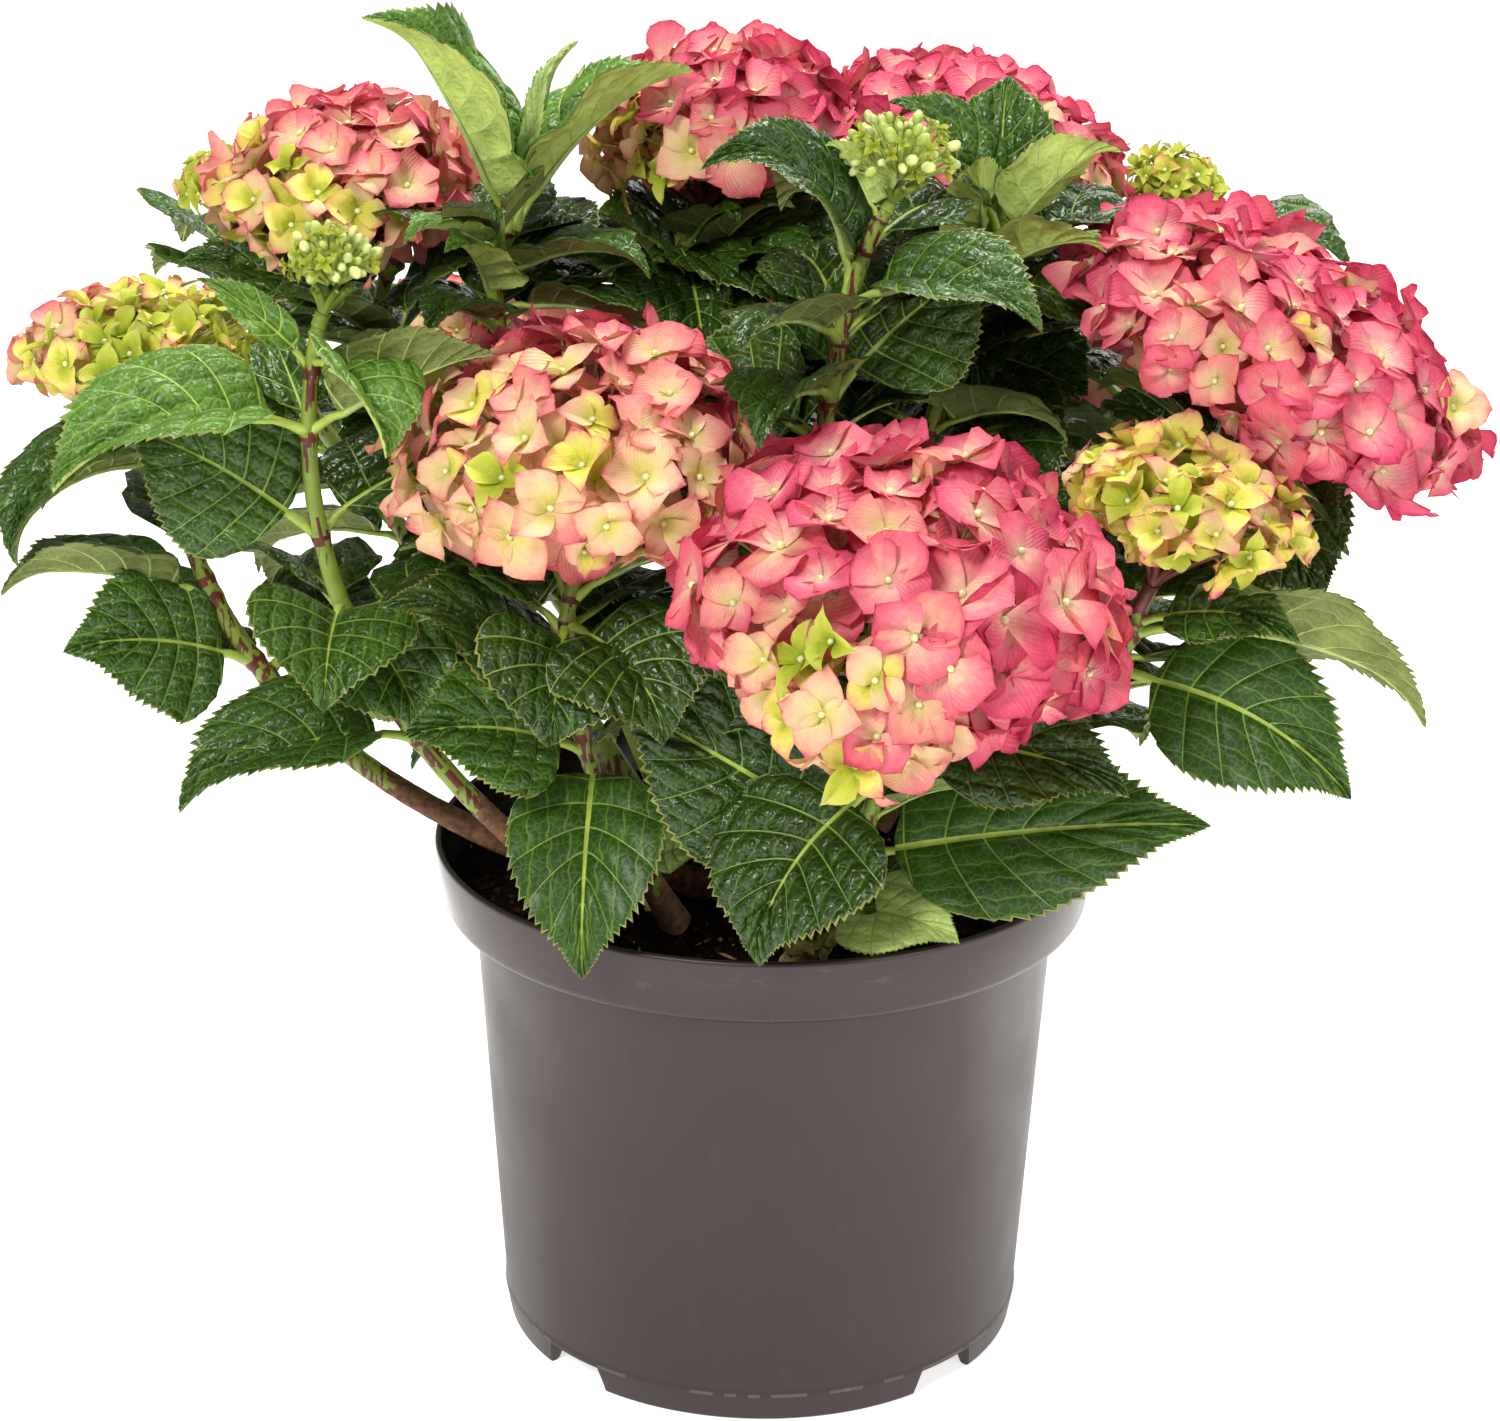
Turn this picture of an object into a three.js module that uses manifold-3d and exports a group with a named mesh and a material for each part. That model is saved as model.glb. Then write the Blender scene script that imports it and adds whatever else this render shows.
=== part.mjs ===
// Mophead hydrangea shrub in a round nursery pot, millimetres, +Z up.
// Origin: centre of the pot's flat underside. -Y is the side the largest flower head faces.
import * as THREE from 'three';
import { ConvexHull } from 'three/addons/math/ConvexHull.js';
import { mergeVertices } from 'three/addons/utils/BufferGeometryUtils.js';
import Module from 'manifold-3d';

const wasm = await Module();
wasm.setup();

// ---- pot (23 cm, 5 litre nursery pot) ----
const RIM_R = 115;
const RIM_Z = 182.3;
const LIP_LOW_R = 112.4;
const LIP_LOW_Z = 158.1;
const WALL_TOP_R = 101.4;
const WALL_LOW_R = 92.3;
const SEAM_Z = 11.1;
const FOOT_R = 90.9;
const WALL = 1.8;
const FLOOR_Z = 11;
const PAD_R = 22;
const NOTCH_DEG = 15;
const DRAIN_R = 4.5;
const DRAIN_RING_R = 66;
const POT_SIDES = 32;
const FIT_GAP = 0.3;

// ---- soil ----
const SOIL_Z = 167;

// ---- old wood: cut stump with one side arm ----
const STUMP = { foot: [-14, -18, 167.4], top: [-20, -26, 189], fork: [-17, -22, 176], arm: [2, -44, 184],
  r0: 8, r1: 5.2, r2: 3.6 };

// ---- stems ----
const BOUGH_R0 = 4.6;
const BOUGH_R1 = 3.4;
const STEM_R0 = 3.2;
const STEM_R1 = 2.5;
const BOUGH_SIDES = 5;
const STEM_SIDES = 4;

// ---- leaves ----
const PETIOLE_SHARE = 0.24;
const PETIOLE_MAX = 19;
const PETIOLE_W = 1.5;
const PETIOLE_T = 2.6;
const LEAF_T_SHARE = 0.018;
const LEAF_T_MIN = 1.5;
// blade outline: [share of blade length, share of half width]
const BLADE = [[0.0, 0.07], [0.14, 0.76], [0.42, 1.0], [0.76, 0.5]];
const BLADE_FILL = [[0.0, 0.09], [0.36, 1.0]];
// tries for a leaf that would touch a neighbour: turn, lift, size, roll
const TRIES = [[0, 0, 1, 0], [7, 4, 0.97, 8], [-7, -4, 0.97, -8], [12, -8, 0.92, 15], [-12, 8, 0.92, -15],
  [20, 12, 0.85, 20], [-20, -12, 0.85, -20], [30, 0, 0.75, 0], [-30, 10, 0.7, 0]];

// Each shoot: root on the soil, a control point the stem bows towards, and its tip.
// bare = share of the stem that is the bare bough. fill = seeded leaf pairs: first and last share,
// number of pairs, sector they keep to (degrees round from +X), leaf length, lift at the top, seed.
const SHOOTS = [
  { name: 'left', base: [-52, -42], bow: [-166, -73, 265], tip: [-143, -60, 376], bare: 0.26,
    fill: [0.4, 0.84, 4, 20, 150, 68, 10, 11] },
  { name: 'far_left', base: [-42, -24], bow: [-191, -46, 223], tip: [-199, -20, 330], bare: 0.5,
    fill: [0.58, 0.93, 3, 30, 150, 66, 5, 12] },
  { name: 'mid_left', base: [-30, -50], bow: [-76, -95, 268], tip: [-61, -72, 298], bare: 0.3,
    fill: [0.42, 0.9, 5, -20, 200, 62, 8, 13] },
  { name: 'front', base: [13, -78], bow: [40, -97, 236], tip: [41, -104, 270], bare: 0.05,
    fill: [0.45, 0.9, 3, 20, 160, 64, 8, 14] },
  { name: 'mid', base: [8, -22], bow: [12, -48, 379], tip: [36, -42, 411], bare: 0.26,
    fill: [0.3, 0.66, 5, 0, 360, 68, 6, 15] },
  { name: 'upper_left', base: [-24, 2], bow: [-114, 7, 368], tip: [-84, -8, 397], bare: 0.28,
    fill: [0.34, 0.9, 6, 0, 360, 66, 12, 16] },
  { name: 'back_left', base: [-34, 18], bow: [-159, 54, 357], tip: [-126, 34, 374], bare: 0.2,
    fill: [0.24, 0.9, 6, 40, 230, 68, 8, 17] },
  { name: 'top', base: [-4, 16], bow: [-39, 48, 362], tip: [-28, 48, 382], bare: 0.3,
    fill: [0.36, 0.9, 7, 0, 360, 68, 12, 18] },
  { name: 'upper_right', base: [26, 4], bow: [53, 9, 354], tip: [79, 10, 396], bare: 0.3,
    fill: [0.34, 0.9, 7, 0, 360, 66, 10, 19] },
  { name: 'top_right', base: [24, 28], bow: [74, 46, 343], tip: [75, 80, 383], bare: 0.3,
    fill: [0.36, 0.9, 6, 0, 360, 70, 8, 20] },
  { name: 'right', base: [46, 2], bow: [147, -10, 293], tip: [152, -6, 325], bare: 0.18,
    fill: [0.22, 0.92, 6, -40, 150, 72, 4, 21] },
  { name: 'low_right', base: [46, -30], bow: [126, -68, 278], tip: [119, -66, 286], bare: 0.3,
    fill: [0.36, 0.9, 5, 20, 220, 62, 4, 22] },
  { name: 'far_right', base: [40, 40], bow: [154, 88, 340], tip: [142, 106, 366], bare: 0.16,
    fill: [0.2, 0.92, 7, -60, 150, 72, -2, 23] },
  { name: 'far_back_left', base: [-40, 44], bow: [-200, 109, 326], tip: [-193, 98, 364], bare: 0.18,
    fill: [0.22, 0.92, 7, 10, 190, 70, -4, 24] },
  { name: 'rear_left', base: [-24, 58], bow: [-112, 172, 250], tip: [-114, 172, 280], bare: 0.13,
    fill: [0.18, 0.93, 7, -20, 340, 76, 6, 25] },
  { name: 'rear', base: [2, 60], bow: [8, 190, 246], tip: [10, 196, 280], bare: 0.13,
    fill: [0.18, 0.93, 7, -20, 340, 76, 6, 26] },
  { name: 'rear_right', base: [30, 56], bow: [124, 158, 250], tip: [130, 158, 278], bare: 0.13,
    fill: [0.18, 0.93, 7, -20, 340, 76, 6, 27] },
];

// Leaves that have a place of their own, by shoot:
// [share of stem, azimuth, elevation of the chord, length, width, arch, roll, fold]
const LEAVES = {
  left: [
    [0.85, -154, -6, 90, 58, 70, -15, 30], [0.85, -7, 26, 66, 45, 20, -35, 25],
    [0.95, -42, -26, 51, 50, 85, -10, 35], [0.94, -178, 42, 46, 14, 30, -60, 30],
    [0.69, 178, 30, 71, 60, 20, -62, 10], [0.58, -92, -27, 49, 56, 60, -10, 25],
    [0.56, -41, -43, 47, 50, 50, 35, 20], [0.44, 149, -40, 34, 40, 40, 60, 30],
    [0.35, -154, -7, 86, 58, 50, -12, 25]],
  far_left: [
    [0.95, -141, -19, 71, 42, 80, -5, 35], [0.73, -163, 10, 72, 44, 40, 10, 35],
    [0.61, -150, 13, 67, 58, 30, -50, 12]],
  mid_left: [
    [0.48, -176, 30, 98, 70, 30, -50, 12], [0.42, -158, 11, 69, 52, 35, -55, 12],
    [0.38, -93, -49, 75, 50, 50, 0, 15], [0.81, -96, -41, 47, 58, 60, -20, 20],
    [0.81, -46, -30, 57, 58, 60, 20, 20]],
  front: [
    [0.37, -179, 33, 92, 66, 20, -72, 8], [0.61, -142, -45, 74, 66, 50, -18, 12],
    [0.33, -11, 11, 116, 56, 15, 55, 8], [0.14, -44, 8, 58, 26, 40, 30, 8],
    [0.22, -20, -9, 40, 30, 30, 20, 8], [0.77, -21, -3, 80, 46, 40, 40, 15]],
  low_right: [
    [0.62, -22, -22, 89, 52, 30, 55, 8], [0.66, 37, -17, 57, 48, 20, -10, 15],
    [0.80, -12, -11, 102, 54, 50, -45, 15], [0.88, -34, 6, 58, 30, 40, 35, 15]],
  right: [
    [0.83, -44, -32, 58, 58, 50, 40, 15], [0.84, -18, -14, 82, 46, 50, -10, 35]],
  far_right: [
    [0.9, -40, 6, 50, 44, 30, 0, 20]],
  mid: [
    [0.50, 150, 2, 62, 60, 40, -58, 10], [0.74, -160, 46, 82, 52, 110, 0, 25],
    [0.73, -28, 1, 72, 50, 70, 0, 25], [0.56, 31, 33, 72, 56, 30, 50, 8]],
  upper_right: [
    [0.95, 85, 63, 56, 40, 20, 0, 25], [0.95, 177, 48, 63, 40, 50, -35, 20],
    [0.92, -21, 41, 56, 32, 30, -50, 25], [0.81, -112, 69, 61, 32, 40, 30, 25],
    [0.79, -41, 25, 61, 34, 60, -20, 25]],
  upper_left: [
    [0.98, -134, 57, 95, 56, 20, -50, 30], [0.98, 22, 39, 82, 54, 50, -10, 30],
    [0.99, 10, 76, 64, 15, 10, 20, 30], [0.72, -31, -12, 81, 48, 60, -5, 30],
    [0.72, -112, 44, 45, 36, 60, -25, 25], [0.88, -140, 14, 46, 24, 50, -10, 20]],
  back_left: [
    [0.76, -160, 8, 78, 48, 30, -15, 25], [0.66, -146, 17, 76, 48, 30, -30, 20]],
  top: [
    [0.74, -136, 44, 53, 48, 40, -30, 20], [0.76, -35, 46, 65, 46, 30, 30, 20],
    [0.67, -143, 32, 68, 50, 40, -30, 20]],
  top_right: [
    [0.65, -44, -4, 55, 60, 30, 40, 12], [0.56, -80, -11, 89, 60, 50, 30, 12]],
};

// Flower heads: centre, equatorial radius, dome height, underside depth, lean and the way it leans,
// number of florets on the solid, seed.
const HEADS = {
  front: { at: [40, -126, 302], r: 67, top: 46, low: 27, lean: 30, toward: -86, n: 28, seed: 61 },
  mid_left: { at: [-62, -62, 335], r: 57, top: 37, low: 24, lean: 12, toward: -110, n: 25, seed: 62 },
  right: { at: [166, -12, 355], r: 74, top: 38, low: 24, lean: 28, toward: -15, n: 30, seed: 63 },
  back_left: { at: [-143, 36, 399], r: 46, top: 30, low: 18, lean: 10, toward: -120, n: 20, seed: 64 },
  top: { at: [-19, 50, 417], r: 43, top: 31, low: 23, lean: 12, toward: 190, n: 20, seed: 65 },
  top_right: { at: [74, 86, 407], r: 51, top: 31, low: 22, lean: 20, toward: 0, n: 22, seed: 66 },
  low_right: { at: [132, -78, 324], r: 35, top: 23, low: 14, lean: 12, toward: -30, n: 15, seed: 67 },
  far_left: { at: [-206, -22, 358], r: 39, top: 21, low: 13, lean: 5, toward: 180, n: 16, seed: 68 },
  far_right: { at: [143, 106, 386], r: 17, top: 14, low: 9, lean: 0, toward: 0, n: 8, seed: 69 },
  far_back_left: { at: [-193, 100, 385], r: 15, top: 13, low: 8, lean: 0, toward: 0, n: 8, seed: 70 },
  left: { at: [-138, -60, 397], r: 14, top: 11, low: 10, lean: 0, toward: 0, n: 9, seed: 71 },
  mid: { at: [40, -42, 429], r: 18, top: 13, low: 11, lean: 0, toward: 0, n: 10, seed: 72 },
  rear_left: { at: [-118, 180, 304], r: 44, top: 30, low: 16, lean: 18, toward: 120, n: 15, seed: 73 },
  rear: { at: [11, 206, 302], r: 52, top: 32, low: 18, lean: 22, toward: 90, n: 18, seed: 74 },
  rear_right: { at: [138, 168, 302], r: 46, top: 30, low: 16, lean: 18, toward: 50, n: 15, seed: 75 },
};
const PEDUNCLE_R = 2.6;
const FLORET_REACH = 0.46;
const VALLEY = 0.84;

const RAD = Math.PI / 180;
const V = (x, y, z) => new THREE.Vector3(x, y, z);

// small seeded generator
function random(seed) {
  let a = seed >>> 0;
  return () => {
    a = (a + 0x6D2B79F5) >>> 0;
    let t = a;
    t = Math.imul(t ^ (t >>> 15), t | 1);
    t ^= t + Math.imul(t ^ (t >>> 7), t | 61);
    return ((t ^ (t >>> 14)) >>> 0) / 4294967296;
  };
}

// ---- solids ----
function solid(verts, tris) {
  return new wasm.Manifold(new wasm.Mesh({
    numProp: 3,
    vertProperties: new Float32Array(verts),
    triVerts: new Uint32Array(tris),
  }));
}

function solidOf(geometry) {
  const g = geometry.clone();
  for (const key of Object.keys(g.attributes)) {
    if (key !== 'position') g.deleteAttribute(key);
  }
  const m = mergeVertices(g, 1e-4);
  const index = m.index.array;
  const tris = [];
  for (let i = 0; i < index.length; i += 3) {
    const [a, b, c] = [index[i], index[i + 1], index[i + 2]];
    if (a !== b && b !== c && a !== c) tris.push(a, b, c);
  }
  return solid(m.attributes.position.array, tris);
}

function geometryOf(manifold) {
  const mesh = manifold.getMesh();
  const g = new THREE.BufferGeometry();
  const n = mesh.numProp;
  const pos = new Float32Array(mesh.numVert * 3);
  for (let i = 0; i < mesh.numVert; i += 1) {
    for (let k = 0; k < 3; k += 1) pos[i * 3 + k] = mesh.vertProperties[i * n + k];
  }
  g.setAttribute('position', new THREE.BufferAttribute(pos, 3));
  g.setIndex(new THREE.BufferAttribute(new Uint32Array(mesh.triVerts), 1));
  return g;
}

// shortest edge of a solid, to keep scraps out of a join
function shortestEdge(manifold) {
  const mesh = manifold.getMesh();
  const p = mesh.vertProperties;
  const n = mesh.numProp;
  const t = mesh.triVerts;
  let best = Infinity;
  for (let i = 0; i < t.length; i += 3) {
    for (let k = 0; k < 3; k += 1) {
      const a = t[i + k] * n;
      const b = t[i + (k + 1) % 3] * n;
      const d = Math.hypot(p[a] - p[b], p[a + 1] - p[b + 1], p[a + 2] - p[b + 2]);
      if (d < best) best = d;
    }
  }
  return best;
}

// closed tube through rings of points; each ring is {p, u, v, ru, rv}
function ringsSolid(rings, sides, tipPoint) {
  const verts = [];
  const tris = [];
  for (const r of rings) {
    for (let k = 0; k < sides; k += 1) {
      const a = 2 * Math.PI * k / sides;
      const q = r.p.clone().addScaledVector(r.u, r.r * Math.cos(a)).addScaledVector(r.v, r.r * Math.sin(a));
      verts.push(q.x, q.y, q.z);
    }
  }
  const n = rings.length;
  for (let i = 0; i + 1 < n; i += 1) {
    for (let k = 0; k < sides; k += 1) {
      const k2 = (k + 1) % sides;
      const [a, b, c, d] = [i * sides + k, i * sides + k2, (i + 1) * sides + k2, (i + 1) * sides + k];
      tris.push(a, b, c, a, c, d);
    }
  }
  for (let k = 1; k + 1 < sides; k += 1) {
    tris.push(0, k + 1, k);
    const o = (n - 1) * sides;
    if (!tipPoint) tris.push(o, o + k, o + k + 1);
  }
  return solid(verts, tris);
}

// ---- stems ----
function stemOf(s) {
  const p0 = V(s.base[0], s.base[1], SOIL_Z + 0.4);
  const c = V(...s.bow);
  const p2 = V(...s.tip);
  const curve = new THREE.QuadraticBezierCurve3(p0, c, p2);
  return curve;
}

function limb(curve, t0, t1, r0, r1, sides, steps, flatFoot) {
  const rings = [];
  for (let i = 0; i <= steps; i += 1) {
    const t = t0 + (t1 - t0) * i / steps;
    const p = curve.getPoint(t);
    const d = curve.getTangent(t);
    if (flatFoot && i === 0) d.set(0, 0, 1);
    const u = V(0, 1, 0).cross(d).normalize();
    const v = d.clone().cross(u);
    rings.push({ p, u, v, r: r0 + (r1 - r0) * i / steps });
  }
  return ringsSolid(rings, sides, false);
}

// ---- leaf: [share, azimuth, elevation, length, width, arch, roll, fold] ----
function leafRings(curve, row, stemR, attempt, blade) {
  const [share, az0, el0, len0, wid0, arch0, roll0, fold] = row;
  const [dAz, dEl, size, dRoll] = TRIES[attempt];
  const az = (az0 + dAz) * RAD;
  const arch = Math.max(arch0, 5) * RAD;
  const e0 = (el0 + dEl) * RAD + arch / 2;
  const len = len0 * size;
  const half = wid0 * size / 2;
  const roll = (roll0 + dRoll) * RAD;
  const root = curve.getPoint(share).add(V(Math.cos(az), Math.sin(az), 0).multiplyScalar(0.35 * stemR));
  const petiole = Math.min(PETIOLE_SHARE * len, PETIOLE_MAX) / len;
  const thick = Math.max(LEAF_T_MIN, LEAF_T_SHARE * len);
  const at = (s) => {
    const h = len * (Math.sin(e0) - Math.sin(e0 - arch * s)) / arch;
    const z = len * (Math.cos(e0 - arch * s) - Math.cos(e0)) / arch;
    const e = e0 - arch * s;
    const p = root.clone().add(V(h * Math.cos(az), h * Math.sin(az), z));
    const t = V(Math.cos(e) * Math.cos(az), Math.cos(e) * Math.sin(az), Math.sin(e));
    const n = V(-Math.sin(e) * Math.cos(az), -Math.sin(e) * Math.sin(az), Math.cos(e));
    const b = t.clone().cross(n);
    const turn = roll * Math.min(1, s / petiole);
    const n2 = n.clone().multiplyScalar(Math.cos(turn)).addScaledVector(b, Math.sin(turn));
    const b2 = b.clone().multiplyScalar(Math.cos(turn)).addScaledVector(n, -Math.sin(turn));
    return { p, t, n: n2, b: b2 };
  };
  const rings = [{ ...at(0), half: PETIOLE_W, thick: PETIOLE_T, fold: 0 }];
  for (const [q, w] of blade) {
    rings.push({ ...at(petiole + (1 - petiole) * q), half: half * w, thick, fold: fold * RAD });
  }
  return { rings, tip: at(1).p };
}

function leafSolid(shape) {
  const verts = [];
  const tris = [];
  for (const r of shape.rings) {
    const c = Math.cos(r.fold) * r.half;
    const s = Math.sin(r.fold) * r.half;
    const right = r.p.clone().addScaledVector(r.b, c).addScaledVector(r.n, s);
    const top = r.p.clone().addScaledVector(r.n, r.thick / 2);
    const left = r.p.clone().addScaledVector(r.b, -c).addScaledVector(r.n, s);
    const low = r.p.clone().addScaledVector(r.n, -r.thick / 2);
    for (const q of [right, top, left, low]) verts.push(q.x, q.y, q.z);
  }
  const n = shape.rings.length;
  for (let i = 0; i + 1 < n; i += 1) {
    for (let k = 0; k < 4; k += 1) {
      const k2 = (k + 1) % 4;
      const [a, b, c, d] = [i * 4 + k, i * 4 + k2, (i + 1) * 4 + k2, (i + 1) * 4 + k];
      tris.push(a, c, b, a, d, c);
    }
  }
  tris.push(0, 1, 3, 1, 2, 3);
  verts.push(shape.tip.x, shape.tip.y, shape.tip.z);
  const o = (n - 1) * 4;
  for (let k = 0; k < 4; k += 1) tris.push(o + k, n * 4, o + (k + 1) % 4);
  return solid(verts, tris);
}

// rows of the seeded leaf pairs of a shoot
function fillRows(s) {
  const [t0, t1, pairs, from, to, len, lift, seed] = s.fill;
  const rnd = random(seed);
  const rows = [];
  for (let i = 0; i < pairs; i += 1) {
    const share = t0 + (t1 - t0) * (pairs > 1 ? i / (pairs - 1) : 0.5);
    const first = from + (to - from) * rnd();
    for (let k = 0; k < 2; k += 1) {
      const span = to - from;
      let az = first + span * k / 2 + 24 * (rnd() - 0.5);
      az = from + ((az - from) % span + span) % span;
      const up = lift + 30 * (share - 0.9) + 16 * rnd();
      const size = len * (0.82 + 0.3 * rnd()) * (1.16 - 0.2 * share);
      rows.push([share, az, up, size, size * (0.6 + 0.1 * rnd()), 40 + 30 * rnd(), 30 * (rnd() - 0.5),
        14 + 14 * rnd()]);
    }
  }
  return rows;
}

// ---- flower head: a dome of raised, dished florets with valleys between them ----
function spread(n, low, seed) {
  const rnd = random(seed);
  const out = [];
  const turn = 360 * rnd();
  for (let i = 0; i < n; i += 1) {
    const z = 1 - (1 - low) * (i + 0.5) / n;
    const a = (turn + i * 137.50776 + 8 * (rnd() - 0.5)) * RAD;
    const q = Math.sqrt(1 - z * z);
    out.push({ d: V(q * Math.cos(a), q * Math.sin(a), z), spin: 90 * rnd(), tall: rnd() });
  }
  return out;
}

function hullFaces(points) {
  const hull = new ConvexHull().setFromPoints(points);
  const id = new Map(points.map((p, i) => [p, i]));
  return hull.faces.map((f) => {
    const e = f.edge;
    return [id.get(e.head().point), id.get(e.next.head().point), id.get(e.next.next.head().point)];
  });
}

function headSolid(h, from, tangent) {
  const florets = spread(h.n, -0.35, h.seed);
  const gap = Math.sqrt(4 * Math.PI * 0.675 / h.n);
  const rays = [];
  const reach = [];
  for (const f of florets) {
    const side = V(0, 0, 1).cross(f.d).normalize();
    const up = f.d.clone().cross(side);
    rays.push(f.d.clone());
    reach.push(0.96 + 0.03 * f.tall);
    for (let k = 0; k < 4; k += 1) {
      const a = (f.spin + 90 * k) * RAD;
      const q = f.d.clone().addScaledVector(side, gap * FLORET_REACH * Math.cos(a));
      q.addScaledVector(up, gap * FLORET_REACH * Math.sin(a)).normalize();
      rays.push(q);
      reach.push(1.0 + 0.05 * f.tall);
    }
  }
  const centres = florets.map((f) => f.d);
  const ring = [];
  for (let k = 0; k < 6; k += 1) ring.push(V(0.72 * Math.cos(k * 1.047), 0.72 * Math.sin(k * 1.047), -0.69));
  const low = V(0, 0, -1);
  for (const [a, b, c] of hullFaces([...centres, ...ring, low])) {
    if (Math.max(a, b, c) >= centres.length) continue;
    const m = centres[a].clone().add(centres[b]).add(centres[c]).normalize();
    rays.push(m);
    reach.push(VALLEY);
  }
  for (const r of ring) {
    rays.push(r.clone().normalize());
    reach.push(0.82);
  }
  rays.push(low);
  reach.push(0.8);
  const lean = new THREE.Quaternion().setFromAxisAngle(
    V(-Math.sin(h.toward * RAD), Math.cos(h.toward * RAD), 0), h.lean * RAD);
  const centre = V(...h.at);
  const verts = [];
  rays.forEach((ray, i) => {
    const tall = ray.z > 0 ? h.top : h.low;
    const q = V(ray.x * h.r, ray.y * h.r, ray.z * tall).multiplyScalar(reach[i]).applyQuaternion(lean);
    q.add(centre);
    verts.push(q.x, q.y, q.z);
  });
  const tris = hullFaces(rays).flat();
  const dome = solid(verts, tris);
  const end = centre.clone().lerp(from, 0.1);
  const upward = end.clone().sub(from).normalize();
  const rings = [[from, tangent, 0.96], [end, upward, 1.25]].map(([p, d, wide]) => {
    const u = V(0, 1, 0).cross(d).normalize();
    return { p, u, v: d.clone().cross(u), r: PEDUNCLE_R * wide };
  });
  return dome.add(ringsSolid(rings, STEM_SIDES, false));
}

// ---- pot and soil ----
function lathe(profile) {
  const points = profile.map(([r, z]) => new THREE.Vector2(r, z));
  const g = new THREE.LatheGeometry(points, POT_SIDES);
  g.rotateX(Math.PI / 2);
  return solidOf(g);
}

function wedge(angle, z0, z1, wide0, wide1) {
  const verts = [];
  for (const [z, w] of [[z0, wide0], [z1, wide1]]) {
    for (const [r, s] of [[80, -1], [100, -1], [100, 1], [80, 1]]) {
      const a = (angle + s * w / 2) * RAD;
      verts.push(r * Math.cos(a), r * Math.sin(a), z);
    }
  }
  return solid(verts, [0, 2, 1, 0, 3, 2, 4, 5, 6, 4, 6, 7, 0, 1, 5, 0, 5, 4, 1, 2, 6, 1, 6, 5,
    2, 3, 7, 2, 7, 6, 3, 0, 4, 3, 4, 7]);
}

function potSolid() {
  const inLow = WALL_LOW_R - WALL;
  const inTop = WALL_TOP_R - WALL;
  const profile = [
    [0, 0], [PAD_R, 0], [PAD_R + 5, FLOOR_Z], [FOOT_R - 6, FLOOR_Z], [FOOT_R - 3.2, 0], [FOOT_R, 0],
    [WALL_LOW_R + 0.5, SEAM_Z - 0.6], [WALL_LOW_R, SEAM_Z + 0.9],
    [WALL_TOP_R, LIP_LOW_Z - 1.4], [WALL_TOP_R + 2, LIP_LOW_Z - 0.4], [LIP_LOW_R - 1.6, LIP_LOW_Z + 1],
    [LIP_LOW_R, LIP_LOW_Z + 3.4], [RIM_R, RIM_Z - 1.1], [RIM_R - 0.8, RIM_Z], [RIM_R - 1.9, RIM_Z],
    [RIM_R - 2.5, RIM_Z - 1.2], [LIP_LOW_R - 1.9, LIP_LOW_Z + 4.2], [inTop, LIP_LOW_Z + 1.6],
    [inLow, FLOOR_Z + 2.2], [PAD_R + 3, FLOOR_Z + 2.2], [PAD_R - 2, 2.2], [0, 2.2]];
  let pot = lathe(profile.reverse());
  if (pot.volume() < 0) pot = lathe(profile.reverse());
  for (let k = 0; k < 4; k += 1) {
    pot = pot.subtract(wedge(45 + 90 * k, -2, SEAM_Z - 1.6, NOTCH_DEG + 4, NOTCH_DEG));
  }
  for (let k = 0; k < 6; k += 1) {
    const a = (60 * k + 15) * RAD;
    const g = new THREE.CylinderGeometry(DRAIN_R, DRAIN_R, 12, 8);
    g.rotateX(Math.PI / 2);
    g.translate(DRAIN_RING_R * Math.cos(a), DRAIN_RING_R * Math.sin(a), FLOOR_Z + 1);
    pot = pot.subtract(solidOf(g));
  }
  return pot;
}

function soilSolid() {
  const g = FIT_GAP + 0.15;
  const inLow = WALL_LOW_R - WALL - g;
  const inTop = WALL_TOP_R - WALL - g;
  const profile = [
    [0, FLOOR_Z + 2.2 + g], [inLow, FLOOR_Z + 2.2 + g],
    [inTop, LIP_LOW_Z + 1.6 + g], [LIP_LOW_R - 1.9 - g - 0.3, LIP_LOW_Z + 4.2 + g],
    [LIP_LOW_R - 3, SOIL_Z], [0, SOIL_Z]];
  let soil = lathe(profile.reverse());
  if (soil.volume() < 0) soil = lathe(profile.reverse());
  return soil;
}

// old cut wood the shoots rise from
function stumpSolid() {
  const line = (a, b) => new THREE.LineCurve3(V(...a), V(...b));
  const up = limb(line(STUMP.foot, STUMP.top), 0, 1, STUMP.r0, STUMP.r1, 7, 3, true);
  const arm = limb(line(STUMP.fork, STUMP.arm), 0, 1, STUMP.r1, STUMP.r2, 6, 2, false);
  return up.add(arm);
}

// ---- assembly ----
const LOOKS = {
  pot: { color: 0x3b3636, roughness: 0.45 },
  soil: { color: 0x241509, roughness: 1.0 },
  bough: { color: 0x6b6a2c, roughness: 0.7 },
  leaves: { color: 0x365a24, roughness: 0.45 },
  head: { color: 0xe27a70, roughness: 0.8 },
};
const group = new THREE.Group();
const placed = [];

function overlaps(candidate, other) {
  const a = candidate.boundingBox();
  const b = other.boundingBox();
  for (let k = 0; k < 3; k += 1) {
    if (a.min[k] > b.max[k] || b.min[k] > a.max[k]) return 0;
  }
  return candidate.intersect(other).volume();
}

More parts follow.
